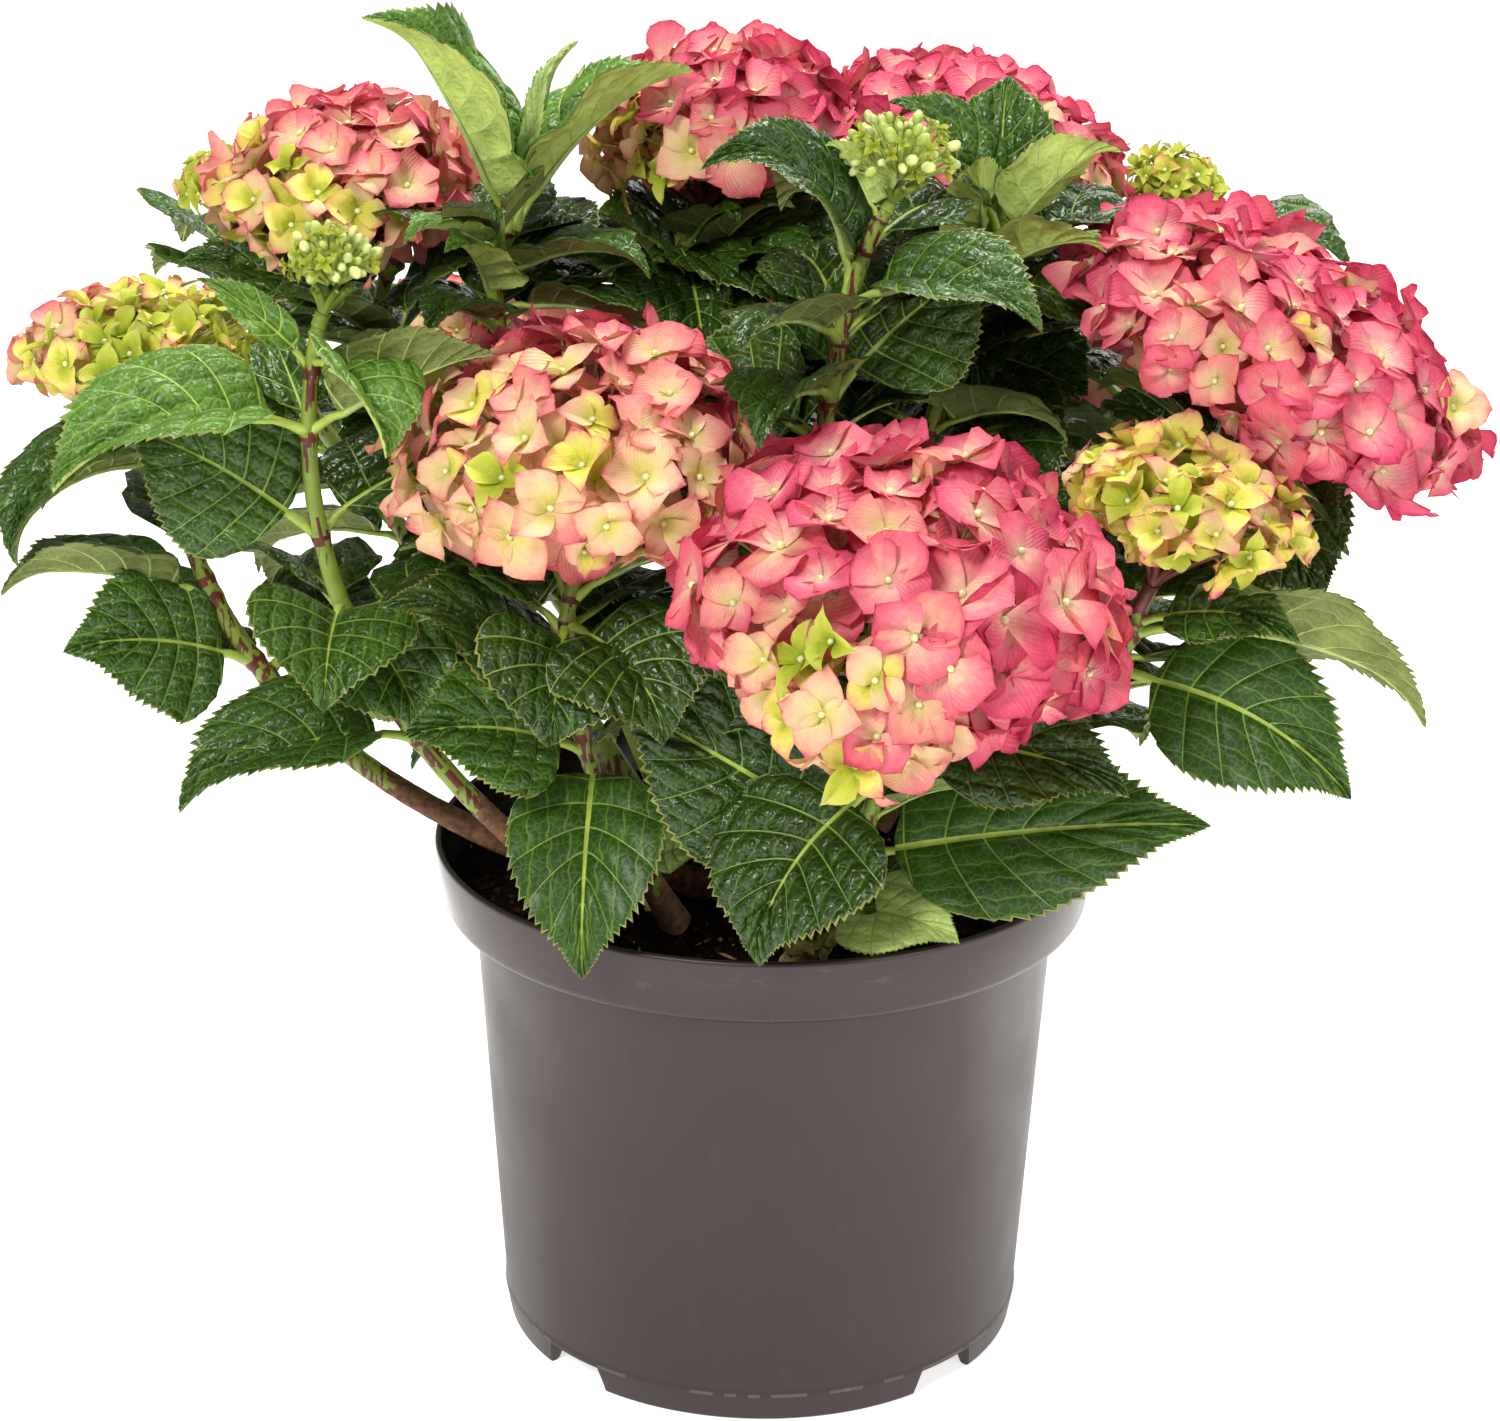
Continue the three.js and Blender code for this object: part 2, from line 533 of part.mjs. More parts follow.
placed.push({ name: 'pot', look: 'pot', body: potSolid() });
placed.push({ name: 'soil', look: 'soil', body: soilSolid() });
placed.push({ name: 'stump', look: 'bough', body: stumpSolid() });
const shoots = SHOOTS.map((s) => {
  const curve = stemOf(s);
  const length = curve.getLength();
  const bough = limb(curve, 0, s.bare - FIT_GAP / length / 2, BOUGH_R0, BOUGH_R1, BOUGH_SIDES, 4, true);
  placed.push({ name: `bough_${s.name}`, look: 'bough', body: bough });
  const start = s.bare + FIT_GAP / length / 2;
  const stem = limb(curve, start, 1, STEM_R0, STEM_R1, STEM_SIDES, 4, false);
  const node = { name: `leaves_${s.name}`, look: 'leaves', body: stem, leaves: null, shoot: s, curve };
  placed.push(node);
  const h = HEADS[s.name];
  if (h) {
    const from = curve.getPoint(1).addScaledVector(curve.getTangent(1), FIT_GAP);
    placed.push({ name: `head_${s.name}`, look: 'head', body: headSolid(h, from, curve.getTangent(1)) });
  }
  return node;
});

// a leaf is fused on where it clears every other piece, else the next try, else it is left out
function grow(node, row, blade, touch) {
  const stemR = STEM_R0 + (STEM_R1 - STEM_R0) * row[0];
  for (let attempt = 0; attempt < TRIES.length; attempt += 1) {
    const shape = leafRings(node.curve, row, stemR, attempt, blade);
    const leaf = leafSolid(shape);
    if (placed.some((other) => other !== node && overlaps(leaf, other.body) > 0)) continue;
    if (node.leaves && overlaps(leaf, node.leaves) > touch) continue;
    const joined = node.body.add(leaf);
    if (joined.decompose().length !== 1 || shortestEdge(joined) < 0.006) continue;
    node.body = joined;
    node.leaves = node.leaves ? node.leaves.add(leaf) : leaf;
    return;
  }
}

for (const node of shoots) {
  for (const row of LEAVES[node.shoot.name] || []) grow(node, row, BLADE, 8);
}
for (const node of shoots) {
  for (const row of fillRows(node.shoot)) grow(node, row, BLADE_FILL, 0.2);
}

for (const item of placed) {
  const material = new THREE.MeshStandardMaterial({ ...LOOKS[item.look], metalness: 0 });
  const mesh = new THREE.Mesh(geometryOf(item.body), material);
  mesh.name = item.name;
  group.add(mesh);
}

export default group;
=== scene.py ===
"""Mophead hydrangea shrub in a round nursery pot: its looks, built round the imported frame."""
import math

import bpy
import numpy as np
from bpy.props import FloatProperty, FloatVectorProperty, IntProperty, PointerProperty
from mathutils import Matrix, Vector, noise


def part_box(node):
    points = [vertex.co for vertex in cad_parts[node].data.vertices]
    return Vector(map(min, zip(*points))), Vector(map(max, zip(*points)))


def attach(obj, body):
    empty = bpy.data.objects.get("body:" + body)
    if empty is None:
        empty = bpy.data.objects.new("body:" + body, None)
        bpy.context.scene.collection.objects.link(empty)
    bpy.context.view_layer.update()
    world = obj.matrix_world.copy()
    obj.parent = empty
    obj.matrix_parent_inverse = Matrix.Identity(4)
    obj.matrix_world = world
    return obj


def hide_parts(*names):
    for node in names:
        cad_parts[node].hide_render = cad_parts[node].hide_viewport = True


bl_info = {
    "name": "Potted hydrangea shrub",
    "version": (1, 0, 0),
    "blender": (4, 5, 0),
    "location": "View3D > Sidebar > Hydrangea",
    "description": "Builds the pot, soil, stems, leaves and flower heads of a potted hydrangea",
    "category": "Add Mesh",
}

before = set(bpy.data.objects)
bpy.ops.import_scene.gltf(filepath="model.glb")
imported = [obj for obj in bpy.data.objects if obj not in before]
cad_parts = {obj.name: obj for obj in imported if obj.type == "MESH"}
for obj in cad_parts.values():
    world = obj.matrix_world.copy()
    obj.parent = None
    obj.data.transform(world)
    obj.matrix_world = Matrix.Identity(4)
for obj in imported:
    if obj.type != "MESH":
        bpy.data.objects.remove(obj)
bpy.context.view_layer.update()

MM = 0.001
METRE = 1000  # in millimetres
RAD = math.pi / 180
GOLDEN_ANGLE = 137.50776

# ---- growth rule of the shrub, millimetres, as the solids grow ----
SOIL_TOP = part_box("soil")[1].z / MM
ROOT_LIFT = 0.4
BOUGH_R0 = 4.6
BOUGH_R1 = 3.4
STEM_R0 = 3.2
STEM_R1 = 2.5
LEAF_ROOT_SHARE = 0.35
PETIOLE_SHARE = 0.24
PETIOLE_MAX = 19.0
LEAST_ARCH = 5.0
TIP_MATCH = 0.06
# tries for a leaf that would touch a neighbour: turn, lift, size, roll
TRIES = ((0, 0, 1, 0), (7, 4, 0.97, 8), (-7, -4, 0.97, -8), (12, -8, 0.92, 15), (-12, 8, 0.92, -15),
         (20, 12, 0.85, 20), (-20, -12, 0.85, -20), (30, 0, 0.75, 0), (-30, 10, 0.7, 0))

# Shoots: foot on the soil, the point the stem bows towards, its tip, the share that is bare bough,
# and its seeded leaf pairs: first and last share, pairs, sector in degrees, length, lift, seed.
SHOOTS = {
    "left": ((-52, -42), (-166, -73, 265), (-143, -60, 376), 0.26, (0.4, 0.84, 4, 20, 150, 68, 10, 11)),
    "far_left": ((-42, -24), (-191, -46, 223), (-199, -20, 330), 0.5, (0.58, 0.93, 3, 30, 150, 66, 5, 12)),
    "mid_left": ((-30, -50), (-76, -95, 268), (-61, -72, 298), 0.3, (0.42, 0.9, 5, -20, 200, 62, 8, 13)),
    "front": ((13, -78), (40, -97, 236), (41, -104, 270), 0.05, (0.45, 0.9, 3, 20, 160, 64, 8, 14)),
    "mid": ((8, -22), (12, -48, 379), (36, -42, 411), 0.26, (0.3, 0.66, 5, 0, 360, 68, 6, 15)),
    "upper_left": ((-24, 2), (-114, 7, 368), (-84, -8, 397), 0.28, (0.34, 0.9, 6, 0, 360, 66, 12, 16)),
    "back_left": ((-34, 18), (-159, 54, 357), (-126, 34, 374), 0.2, (0.24, 0.9, 6, 40, 230, 68, 8, 17)),
    "top": ((-4, 16), (-39, 48, 362), (-28, 48, 382), 0.3, (0.36, 0.9, 7, 0, 360, 68, 12, 18)),
    "upper_right": ((26, 4), (53, 9, 354), (79, 10, 396), 0.3, (0.34, 0.9, 7, 0, 360, 66, 10, 19)),
    "top_right": ((24, 28), (74, 46, 343), (75, 80, 383), 0.3, (0.36, 0.9, 6, 0, 360, 70, 8, 20)),
    "right": ((46, 2), (147, -10, 293), (152, -6, 325), 0.18, (0.22, 0.92, 6, -40, 150, 72, 4, 21)),
    "low_right": ((46, -30), (126, -68, 278), (119, -66, 286), 0.3, (0.36, 0.9, 5, 20, 220, 62, 4, 22)),
    "far_right": ((40, 40), (154, 88, 340), (142, 106, 366), 0.16, (0.2, 0.92, 7, -60, 150, 72, -2, 23)),
    "far_back_left": ((-40, 44), (-200, 109, 326), (-193, 98, 364), 0.18,
                      (0.22, 0.92, 7, 10, 190, 70, -4, 24)),
    "rear_left": ((-24, 58), (-112, 172, 250), (-114, 172, 280), 0.13, (0.18, 0.93, 7, -20, 340, 76, 6, 25)),
    "rear": ((2, 60), (8, 190, 246), (10, 196, 280), 0.13, (0.18, 0.93, 7, -20, 340, 76, 6, 26)),
    "rear_right": ((30, 56), (124, 158, 250), (130, 158, 278), 0.13, (0.18, 0.93, 7, -20, 340, 76, 6, 27)),
}

# Leaves with a place of their own: share of stem, azimuth, elevation of the chord, length, width,
# arch, roll, fold, and the leaf's tone from 0, old and dark, to 3, young and pale.
LEAVES = {
    "left": (
        (0.85, -154, -6, 90, 58, 70, -15, 30, 2), (0.85, -7, 26, 66, 45, 20, -35, 25, 1),
        (0.95, -42, -26, 51, 50, 85, -10, 35, 2), (0.94, -178, 42, 46, 14, 30, -60, 30, 2),
        (0.69, 178, 30, 71, 60, 20, -62, 10, 1), (0.58, -92, -27, 49, 56, 60, -10, 25, 1),
        (0.56, -41, -43, 47, 50, 50, 35, 20, 1), (0.44, 149, -40, 34, 40, 40, 60, 30, 1),
        (0.35, -154, -7, 86, 58, 50, -12, 25, 1)),
    "far_left": (
        (0.95, -141, -19, 71, 42, 80, -5, 35, 1), (0.73, -163, 10, 72, 44, 40, 10, 35, 1),
        (0.61, -150, 13, 67, 58, 30, -50, 12, 1)),
    "mid_left": (
        (0.48, -176, 30, 98, 70, 30, -50, 12, 0), (0.42, -158, 11, 69, 52, 35, -55, 12, 1),
        (0.38, -93, -49, 75, 50, 50, 0, 15, 1), (0.81, -96, -41, 47, 58, 60, -20, 20, 0),
        (0.81, -46, -30, 57, 58, 60, 20, 20, 0)),
    "front": (
        (0.37, -179, 33, 92, 66, 20, -72, 8, 0), (0.61, -142, -45, 74, 66, 50, -18, 12, 0),
        (0.33, -11, 11, 116, 56, 15, 55, 8, 1), (0.14, -44, 8, 58, 26, 40, 30, 8, 3),
        (0.22, -20, -9, 40, 30, 30, 20, 8, 1), (0.77, -21, -3, 80, 46, 40, 40, 15, 0)),
    "low_right": (
        (0.62, -22, -22, 89, 52, 30, 55, 8, 1), (0.66, 37, -17, 57, 48, 20, -10, 15, 0),
        (0.80, -12, -11, 102, 54, 50, -45, 15, 1), (0.88, -34, 6, 58, 30, 40, 35, 15, 1)),
    "right": (
        (0.83, -44, -32, 58, 58, 50, 40, 15, 0), (0.84, -18, -14, 82, 46, 50, -10, 35, 1)),
    "far_right": (
        (0.9, -40, 6, 50, 44, 30, 0, 20, 1),),
    "mid": (
        (0.50, 150, 2, 62, 60, 40, -58, 10, 1), (0.74, -160, 46, 82, 52, 110, 0, 25, 0),
        (0.73, -28, 1, 72, 50, 70, 0, 25, 1), (0.56, 31, 33, 72, 56, 30, 50, 8, 1)),
    "upper_right": (
        (0.95, 85, 63, 56, 40, 20, 0, 25, 1), (0.95, 177, 48, 63, 40, 50, -35, 20, 1),
        (0.92, -21, 41, 56, 32, 30, -50, 25, 2), (0.81, -112, 69, 61, 32, 40, 30, 25, 2),
        (0.79, -41, 25, 61, 34, 60, -20, 25, 2)),
    "upper_left": (
        (0.98, -134, 57, 95, 56, 20, -50, 30, 2), (0.98, 22, 39, 82, 54, 50, -10, 30, 2),
        (0.99, 10, 76, 64, 15, 10, 20, 30, 3), (0.72, -31, -12, 81, 48, 60, -5, 30, 1),
        (0.72, -112, 44, 45, 36, 60, -25, 25, 2), (0.88, -140, 14, 46, 24, 50, -10, 20, 2)),
    "back_left": (
        (0.76, -160, 8, 78, 48, 30, -15, 25, 1), (0.66, -146, 17, 76, 48, 30, -30, 20, 1)),
    "top": (
        (0.74, -136, 44, 53, 48, 40, -30, 20, 2), (0.76, -35, 46, 65, 46, 30, 30, 20, 1),
        (0.67, -143, 32, 68, 50, 40, -30, 20, 1)),
    "top_right": (
        (0.65, -44, -4, 55, 60, 30, 40, 12, 1), (0.56, -80, -11, 89, 60, 50, 30, 12, 0)),
}

# Flower heads: centre, radius, dome height, depth below, lean and the way it leans, florets, seed.
HEADS = {
    "front": ((40, -126, 302), 67, 46, 27, 30, -86, 28, 61),
    "mid_left": ((-62, -62, 335), 57, 37, 24, 12, -110, 25, 62),
    "right": ((166, -12, 355), 74, 38, 24, 28, -15, 30, 63),
    "back_left": ((-143, 36, 399), 46, 30, 18, 10, -120, 20, 64),
    "top": ((-19, 50, 417), 43, 31, 23, 12, 190, 20, 65),
    "top_right": ((74, 86, 407), 51, 31, 22, 20, 0, 22, 66),
    "low_right": ((132, -78, 324), 35, 23, 14, 12, -30, 15, 67),
    "far_left": ((-206, -22, 358), 39, 21, 13, 5, 180, 16, 68),
    "far_right": ((143, 106, 386), 17, 14, 9, 0, 0, 8, 69),
    "far_back_left": ((-193, 100, 385), 15, 13, 8, 0, 0, 8, 70),
    "left": ((-138, -60, 397), 14, 11, 10, 0, 0, 9, 71),
    "mid": ((40, -42, 429), 18, 13, 11, 0, 0, 10, 72),
    "rear_left": ((-118, 180, 304), 44, 30, 16, 18, 120, 15, 73),
    "rear": ((11, 206, 302), 52, 32, 18, 22, 90, 18, 74),
    "rear_right": ((138, 168, 302), 46, 30, 16, 18, 50, 15, 75),
}
HEAD_FLOOR = -0.35

# How each head is made up: ripe florets for each one of the rule, sepal length, how ripe it is from 0,
# lime, to 5, rose, how ripe its younger side is, where that side faces (azimuth, height), its share.
BLOOMS = {
    "front": (3.0, 16.4, 4.3, 1.0, (-118, 0.1), 0.14),
    "mid_left": (2.6, 16.4, 3.8, 2.0, (-112, -0.2), 0.6),
    "right": (3.2, 14.2, 4.6, 2.6, (-133, 0.25), 0.09),
    "back_left": (2.4, 15.2, 3.2, 1.6, (-122, -0.25), 0.25),
    "top": (2.7, 14.2, 4.6, 1.0, (-141, -0.15), 0.22),
    "top_right": (2.8, 12.8, 4.6, 2.2, (-39, -0.1), 0.14),
    "low_right": (3.0, 15.2, 1.4, 0.8, (-100, -0.6), 0.3),
    "far_left": (3.2, 13.4, 0.2, 2.0, (160, 0.35), 0.3),
    "far_right": (3.4, 9.6, 0.1, 0.1, (0, 0), 0.1),
    "far_back_left": (3.4, 9.2, 0.1, 0.1, (0, 0), 0.1),
    "rear_left": (2.7, 13.5, 2.8, 1.0, (60, -0.6), 0.25),
    "rear": (2.7, 14.0, 4.4, 1.0, (110, -0.7), 0.15),
    "rear_right": (2.7, 13.5, 3.5, 1.0, (0, -0.7), 0.2),
}
# Heads that are wider, lower or flatter below than their space: shares of radius, height and depth.
HEAD_SHAPES = {"right": (1.0, 0.9, 0.5), "top_right": (1.06, 0.74, 1.0), "top": (1.0, 0.9, 1.0),
               "back_left": (0.97, 0.92, 1.0), "far_left": (1.0, 0.85, 1.0),
               "mid_left": (1.03, 1.0, 1.0), "low_right": (1.05, 0.85, 0.6)}
# Where a head's edge is drawn in: azimuth, half angle, share.
HEAD_BAYS = {"front": ((-58, 26, 0.34), (-142, 16, 0.26))}
# Layers of florets from the outside in: number, share of the florets, share of the head's reach.
FLORET_LAYERS = ((0, 1.0, 1.0), (1, 0.45, 0.74), (2, 0.2, 0.5))
BUD_CLUSTERS = ("left", "mid")
GREEN_HEADS = ("far_left", "far_right", "far_back_left")

# Tints of the sepals by ripeness, each from the eye out to the rim.
TINTS = {
    "lime": ("#95ab22", "#b0be32", "#c3cc48", "#d1d562", "#d6d284"),
    "yellow": ("#b4c435", "#dcdb58", "#f0e478", "#ecb486", "#d04a66"),
    "cream": ("#d3d062", "#e9d698", "#f0c8a2", "#e8a78e", "#d66a74"),
    "salmon": ("#dccf88", "#ebb89c", "#e89a8a", "#e27c7e", "#cb5668"),
    "pink": ("#e8cba6", "#eaa49a", "#e57d88", "#e06679", "#c94863"),
    "rose": ("#e4b9a4", "#e58890", "#dd637b", "#d24a6b", "#b63354"),
}
TINT_PLACES = (0.0, 0.25, 0.5, 0.8, 0.97)

# ---- leaf blade ----
WIDEST_AT = 0.344
BASE_POWER = 0.55
TIP_POWER = 1.05
TIP_NARROW = 0.24
VEIN_FORWARD = 0.27
VEIN_CURVE = 1.25
FIRST_VEIN = 0.03
LAST_VEIN = 0.88
BLADE_END = 0.985
RIB_HALF = 0.95
RIB_REACH = 0.8
RIB_WIDE = 1.35
RIB_DEEP = 1.3
PETIOLE_WIDE = 1.75
PETIOLE_DEEP = 1.55
VEIN_HALF = 0.36
GRAIN_LENGTH = 70.0
RUNG_MM = 3.1
SHEET_GAP = 0.28
BLADE_FROM = 0.72
RICH_FROM_MM = 56
SMALL_LEAF_MM = 40
CURL_FROM = 0.7
# Leaves with ways of their own: share of the petiole that stays bare, quilting, more roll and fold.
LEAF_WAYS = {
    ("mid_left", 2): {"bare": 0.2, "quilt": 0.55}, ("front", 2): {"quilt": 0.55},
    ("low_right", 0): {"quilt": 0.6}, ("front", 1): {"quilt": 1.45},
    ("front", 3): {"quilt": 0.25, "slim": 1.42, "teeth": 0.6, "droop": 0.0},
    ("mid", 1): {"roll": -38, "slim": 0.72}, ("mid", 2): {"roll": 18, "slim": 0.85},
    ("upper_left", 0): {"roll": 12, "fold": 12}, ("mid_left", 3): {"quilt": 1.3},
    ("mid", 0): {"quilt": 1.3}, ("mid", 3): {"quilt": 1.3}, ("left", 8): {"quilt": 0.8},
}
# Leaves deep in the crown, grown by the rule: sector and seed by shoot.
INNER_FILL = {"mid": (10, 170, 31), "top": (-170, 170, 32), "upper_left": (20, 160, 33),
              "upper_right": (20, 160, 34), "top_right": (-170, 170, 35), "right": (60, 200, 36)}
INNER_FROM, INNER_TO, INNER_PAIRS, INNER_LENGTH, INNER_LIFT = 0.5, 0.86, 3, 62, 2
# Leaves that close the crown between the others, set as LEAVES are.
CLOSING_LEAVES = {
    "top": ((0.93, -50, -14, 74, 54, 40, 0, 12, 0), (0.9, -16, 2, 72, 54, 40, 22, 12, 0),
            (0.88, -82, -22, 66, 56, 40, 0, 12, 0)),
    "upper_right": ((0.75, 72, -26, 66, 58, 30, 0, 12, 0), (0.84, -8, -24, 48, 40, 30, 20, 14, 1)),
    "mid_left": ((0.14, -12, 24, 27, 24, 30, 30, 16, 3),),
    "mid": ((0.96, -150, 58, 34, 22, 30, 10, 34, 2), (0.4, 180, 6, 56, 56, 30, -45, 12, 0),
            (0.3, -6, -10, 56, 50, 30, 45, 12, 0)),
    "upper_left": ((0.8, 60, 18, 56, 46, 30, 0, 12, 0),),
    "back_left": ((0.8, -30, 26, 56, 52, 30, 25, 12, 0),)}
CLOSING_SEED = 900
SKIN_MAP = "skin_place"
MAP_UNIT = 10.0

# ---- patterns of leaf and sepal, millimetres and shares ----
WAXY_IOR = 1.45
STIR_MM = 6  # over which the ladder veins stray
RUNG_STRAY = 1.2
RUNG_OFFSET = 0.37
NET_MM = 2.9  # across one mesh of the fine net, coarse enough to show
NET_EDGE = 0.32
NET_RISE = 0.38
LEAF_PATCH_MM = 9
LIT_ABOVE = 0.06
LIT_BELOW = 0.12
VEIN_TISSUE = (6, 1.2, 0.05, 0.05)  # patch, grain, relief, share of light let through
BUD_TISSUE = (4, 1.0, 0.05, 0.08)
MOTTLE_MM = 3.0
MOTTLE_SHIFT = 0.13
SEPAL_VEINS = 15.0
VEIN_TINT = 0.13
SEPAL_RELIEF_MM = 0.3

# Old wood on the soil: foot, bow and tip above the soil's top, radius at both ends, and its look:
# 0 bark, 1 peeled stick, 2 green-brown knob.
STUMP_LIMBS = (
    (((-14, -18, -3), (-19, -20, 10), (-20, -26, 19)), 8.0, 5.6, 0),
    (((-17, -22, 6), (-6, -30, 14), (2, -44, 11)), 5.2, 3.6, 0),
    (((-52, -20, 2), (-38, -26, 12), (-17, -28, 4)), 4.2, 5.0, 0),
    (((-33, -12, -2), (-42, -14, 26), (-22, -20, 14)), 4.6, 4.0, 0),
    (((-22, -26, 8), (-10, -34, 4), (-8, -44, -3)), 4.6, 4.0, 0),
    (((-43, -28, 8), (-41, -32, 3), (-39, -37, -1)), 1.5, 1.3, 1),
    (((-36, -28, 6), (-35, -31, 3), (-34, -34, 0)), 1.7, 1.9, 2),
    (((13, -77, -4), (12, -78, 3), (13, -78, 9)), 7.4, 5.2, 2),
    (((18, -79, 3), (23, -80, 9), (25, -81, 17)), 2.8, 2.3, 2),
)

# ---- pot, from the solid's box ----
RIM_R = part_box("pot")[1].x / MM
RIM_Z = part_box("pot")[1].z / MM
WALL = 1.8
FLOOR_Z = 11.0
SEAM_Z = 11.1
LIP_DEEP = 24.2
LIP_IN = 2.6
WALL_TOP_IN = 13.6
WALL_LOW_IN = 22.7
FOOT_IN = 24.1
PAD_R = 22.0
NOTCH_WIDE = 19.0
NOTCH_NARROW = 15.0
NOTCH_FROM = 80
NOTCH_TO = 100
DRAIN_R = 4.5
DRAIN_RING_R = 66.0
DRAIN_HOLES = 6
DRAIN_SIDES = 24
# the seam look paints a pale highlight in broken dashes along the seam
WALL_LOOK, LIP_LOOK, SEAM_HIGHLIGHT_LOOK, EDGE_LOOK = range(4)
SHARP_ANGLE = 38

# ---- soil ----
SOIL_EDGE_R = RIM_R - LIP_IN - 3.2
SOIL_RINGS = 54
SOIL_AROUND = 170
LUMP_MM = 9
MOUND_MM = 32
EDGE_DIP = 2.5
EDGE_DIP_FROM = 0.93
# Loose bits: how many, how far from the edge they stay, their size, stretch and looks, from 0, peat, by
# bark and fibre to 3, grit.
CRUMBS = ((1300, 2, (0.7, 2.2), (1, 1, 0.7), (0, 0, 0, 1, 1)),
          (260, 4, (1.2, 2.6), (2.6, 0.35, 0.3), (1, 1, 2)),
          (90, 2, (0.5, 1.3), (1, 1, 0.8), (2, 3)))


def linear(hex_colour):
    """Linear RGB of an sRGB hex value."""
    parts = [int(hex_colour[i:i + 2], 16) / 255 for i in (1, 3, 5)]
    return tuple(c / 12.92 if c <= 0.04045 else ((c + 0.055) / 1.055) ** 2.4 for c in parts)


# ---- what a user would change ----
def colour_setting(name, description, hex_colour):
    """A colour that starts from an sRGB hex value."""
    return FloatVectorProperty(name=name, description=description, subtype="COLOR", size=3,
                               default=linear(hex_colour), min=0.0, max=1.0)


class PotSettings(bpy.types.PropertyGroup):
    colour: colour_setting("Pot colour", "Colour of the moulded plastic", "#302426")
    soil_colour: colour_setting("Soil colour", "Colour of the moist peat", "#0c0502")
    around: IntProperty(
        name="Pot steps", description="Faces round the pot", default=144, min=32, max=256)


class PlantSettings(bpy.types.PropertyGroup):
    leaf_dark: colour_setting("Old leaf", "Upper side of the oldest leaves", "#26400f")
    leaf_mid: colour_setting("Grown leaf", "Upper side of grown leaves", "#315015")
    leaf_smooth: colour_setting("Smooth leaf", "Upper side of leaves with little quilting", "#2b4a12")
    leaf_fresh: colour_setting("Fresh leaf", "Upper side of fresh leaves", "#4f7725")
    leaf_young: colour_setting("Young leaf", "Upper side of the youngest leaves", "#adc572")
    bulge: FloatProperty(
        name="Quilting", description="Rise of the blade between its side veins", subtype="DISTANCE",
        unit="LENGTH", default=2.3 * MM, min=0.0, max=4 * MM)
    tooth: FloatProperty(
        name="Tooth", description="Depth of the teeth on the margin", subtype="DISTANCE",
        unit="LENGTH", default=1.3 * MM, min=0.0, max=4 * MM)


class BloomSettings(bpy.types.PropertyGroup):
    sepal_width: FloatProperty(
        name="Sepal width", description="Half width of a sepal as a share of its length",
        default=0.56, min=0.3, max=0.9)
    fill: FloatProperty(
        name="Fill", description="Florets for each one that the rule gives", default=1.0, min=0.4, max=1.5)


class StageSettings(bpy.types.PropertyGroup):
    floor_colour: colour_setting("Floor colour", "Colour of the studio floor", "#f6f5f3")
    lens: FloatProperty(
        name="Lens", description="Focal length of the camera in millimetres", default=88.222, min=20, max=300)


# ---- nodes and materials ----
def add_node(tree, kind, inputs=None, **settings):
    """Adds a node with its settings; each input is a value, or the node or socket that feeds it."""
    node = tree.nodes.new(kind)
    for name, value in settings.items():
        setattr(node, name, value)
    for name, value in (inputs or {}).items():
        if isinstance(value, bpy.types.Node):
            value = value.outputs[0]
        if isinstance(value, bpy.types.NodeSocket):
            tree.links.new(value, node.inputs[name])
        else:
            node.inputs[name].default_value = value
    return node


def new_material(name):
    """An empty material and its node tree."""
    material = bpy.data.materials.new(name)
    material.use_nodes = True
    material.node_tree.nodes.clear()
    return material, material.node_tree


def rgba(colour, gain=1.0):
    """A colour that covers in full, brightened by gain."""
    return tuple(min(c * gain, 1.0) for c in colour[:3]) + (1.0,)


def shaded_noise(tree, place, dark, light, patch_mm, spread=(0.35, 0.65)):
    """A colour between dark and light that wanders over patches of a real size."""
    wander = add_node(tree, "ShaderNodeTexNoise", {"Vector": place, "Scale": METRE / patch_mm, "Detail": 4.0})
    ramp = add_node(tree, "ShaderNodeValToRGB", {"Fac": wander})
    ramp.color_ramp.elements[0].position, ramp.color_ramp.elements[1].position = spread
    ramp.color_ramp.elements[0].color = dark
    ramp.color_ramp.elements[1].color = light
    return ramp


def thin_sheet(tree, tint, normal, rough, specular, glow, **through):
    """Ends a material as a sheet of tissue: a waxy skin that lets some of the light through."""
    skin = add_node(tree, "ShaderNodeBsdfPrincipled", {
        "Base Color": tint, "Roughness": rough, "Normal": normal, "IOR": WAXY_IOR,
        "Specular IOR Level": specular})
    behind = add_node(tree, "ShaderNodeBsdfTranslucent", {"Color": tint, **through})
    sheet = add_node(tree, "ShaderNodeMixShader", {0: glow, 1: skin, 2: behind})
    add_node(tree, "ShaderNodeOutputMaterial", {"Surface": sheet})


def living_tissue(name, colour, rough, patch_mm, grain_mm, relief_mm, glow, contrast=0.22, specular=0.5):
    """A thin sheet of plant tissue: wandering colour, fine relief, and some light let through."""
    material, tree = new_material(name)
    place = add_node(tree, "ShaderNodeTexCoord").outputs["Object"]
    tint = shaded_noise(tree, place, rgba(colour, 1 - contrast), rgba(colour, 1 + contrast), patch_mm)
    grain = add_node(tree, "ShaderNodeTexNoise", {"Vector": place, "Scale": METRE / grain_mm, "Detail": 3.0})
    bump = add_node(tree, "ShaderNodeBump", {"Height": grain, "Distance": relief_mm * MM, "Strength": 1.0})
    thin_sheet(tree, tint, bump, rough, specular, glow, Normal=bump)
    return material


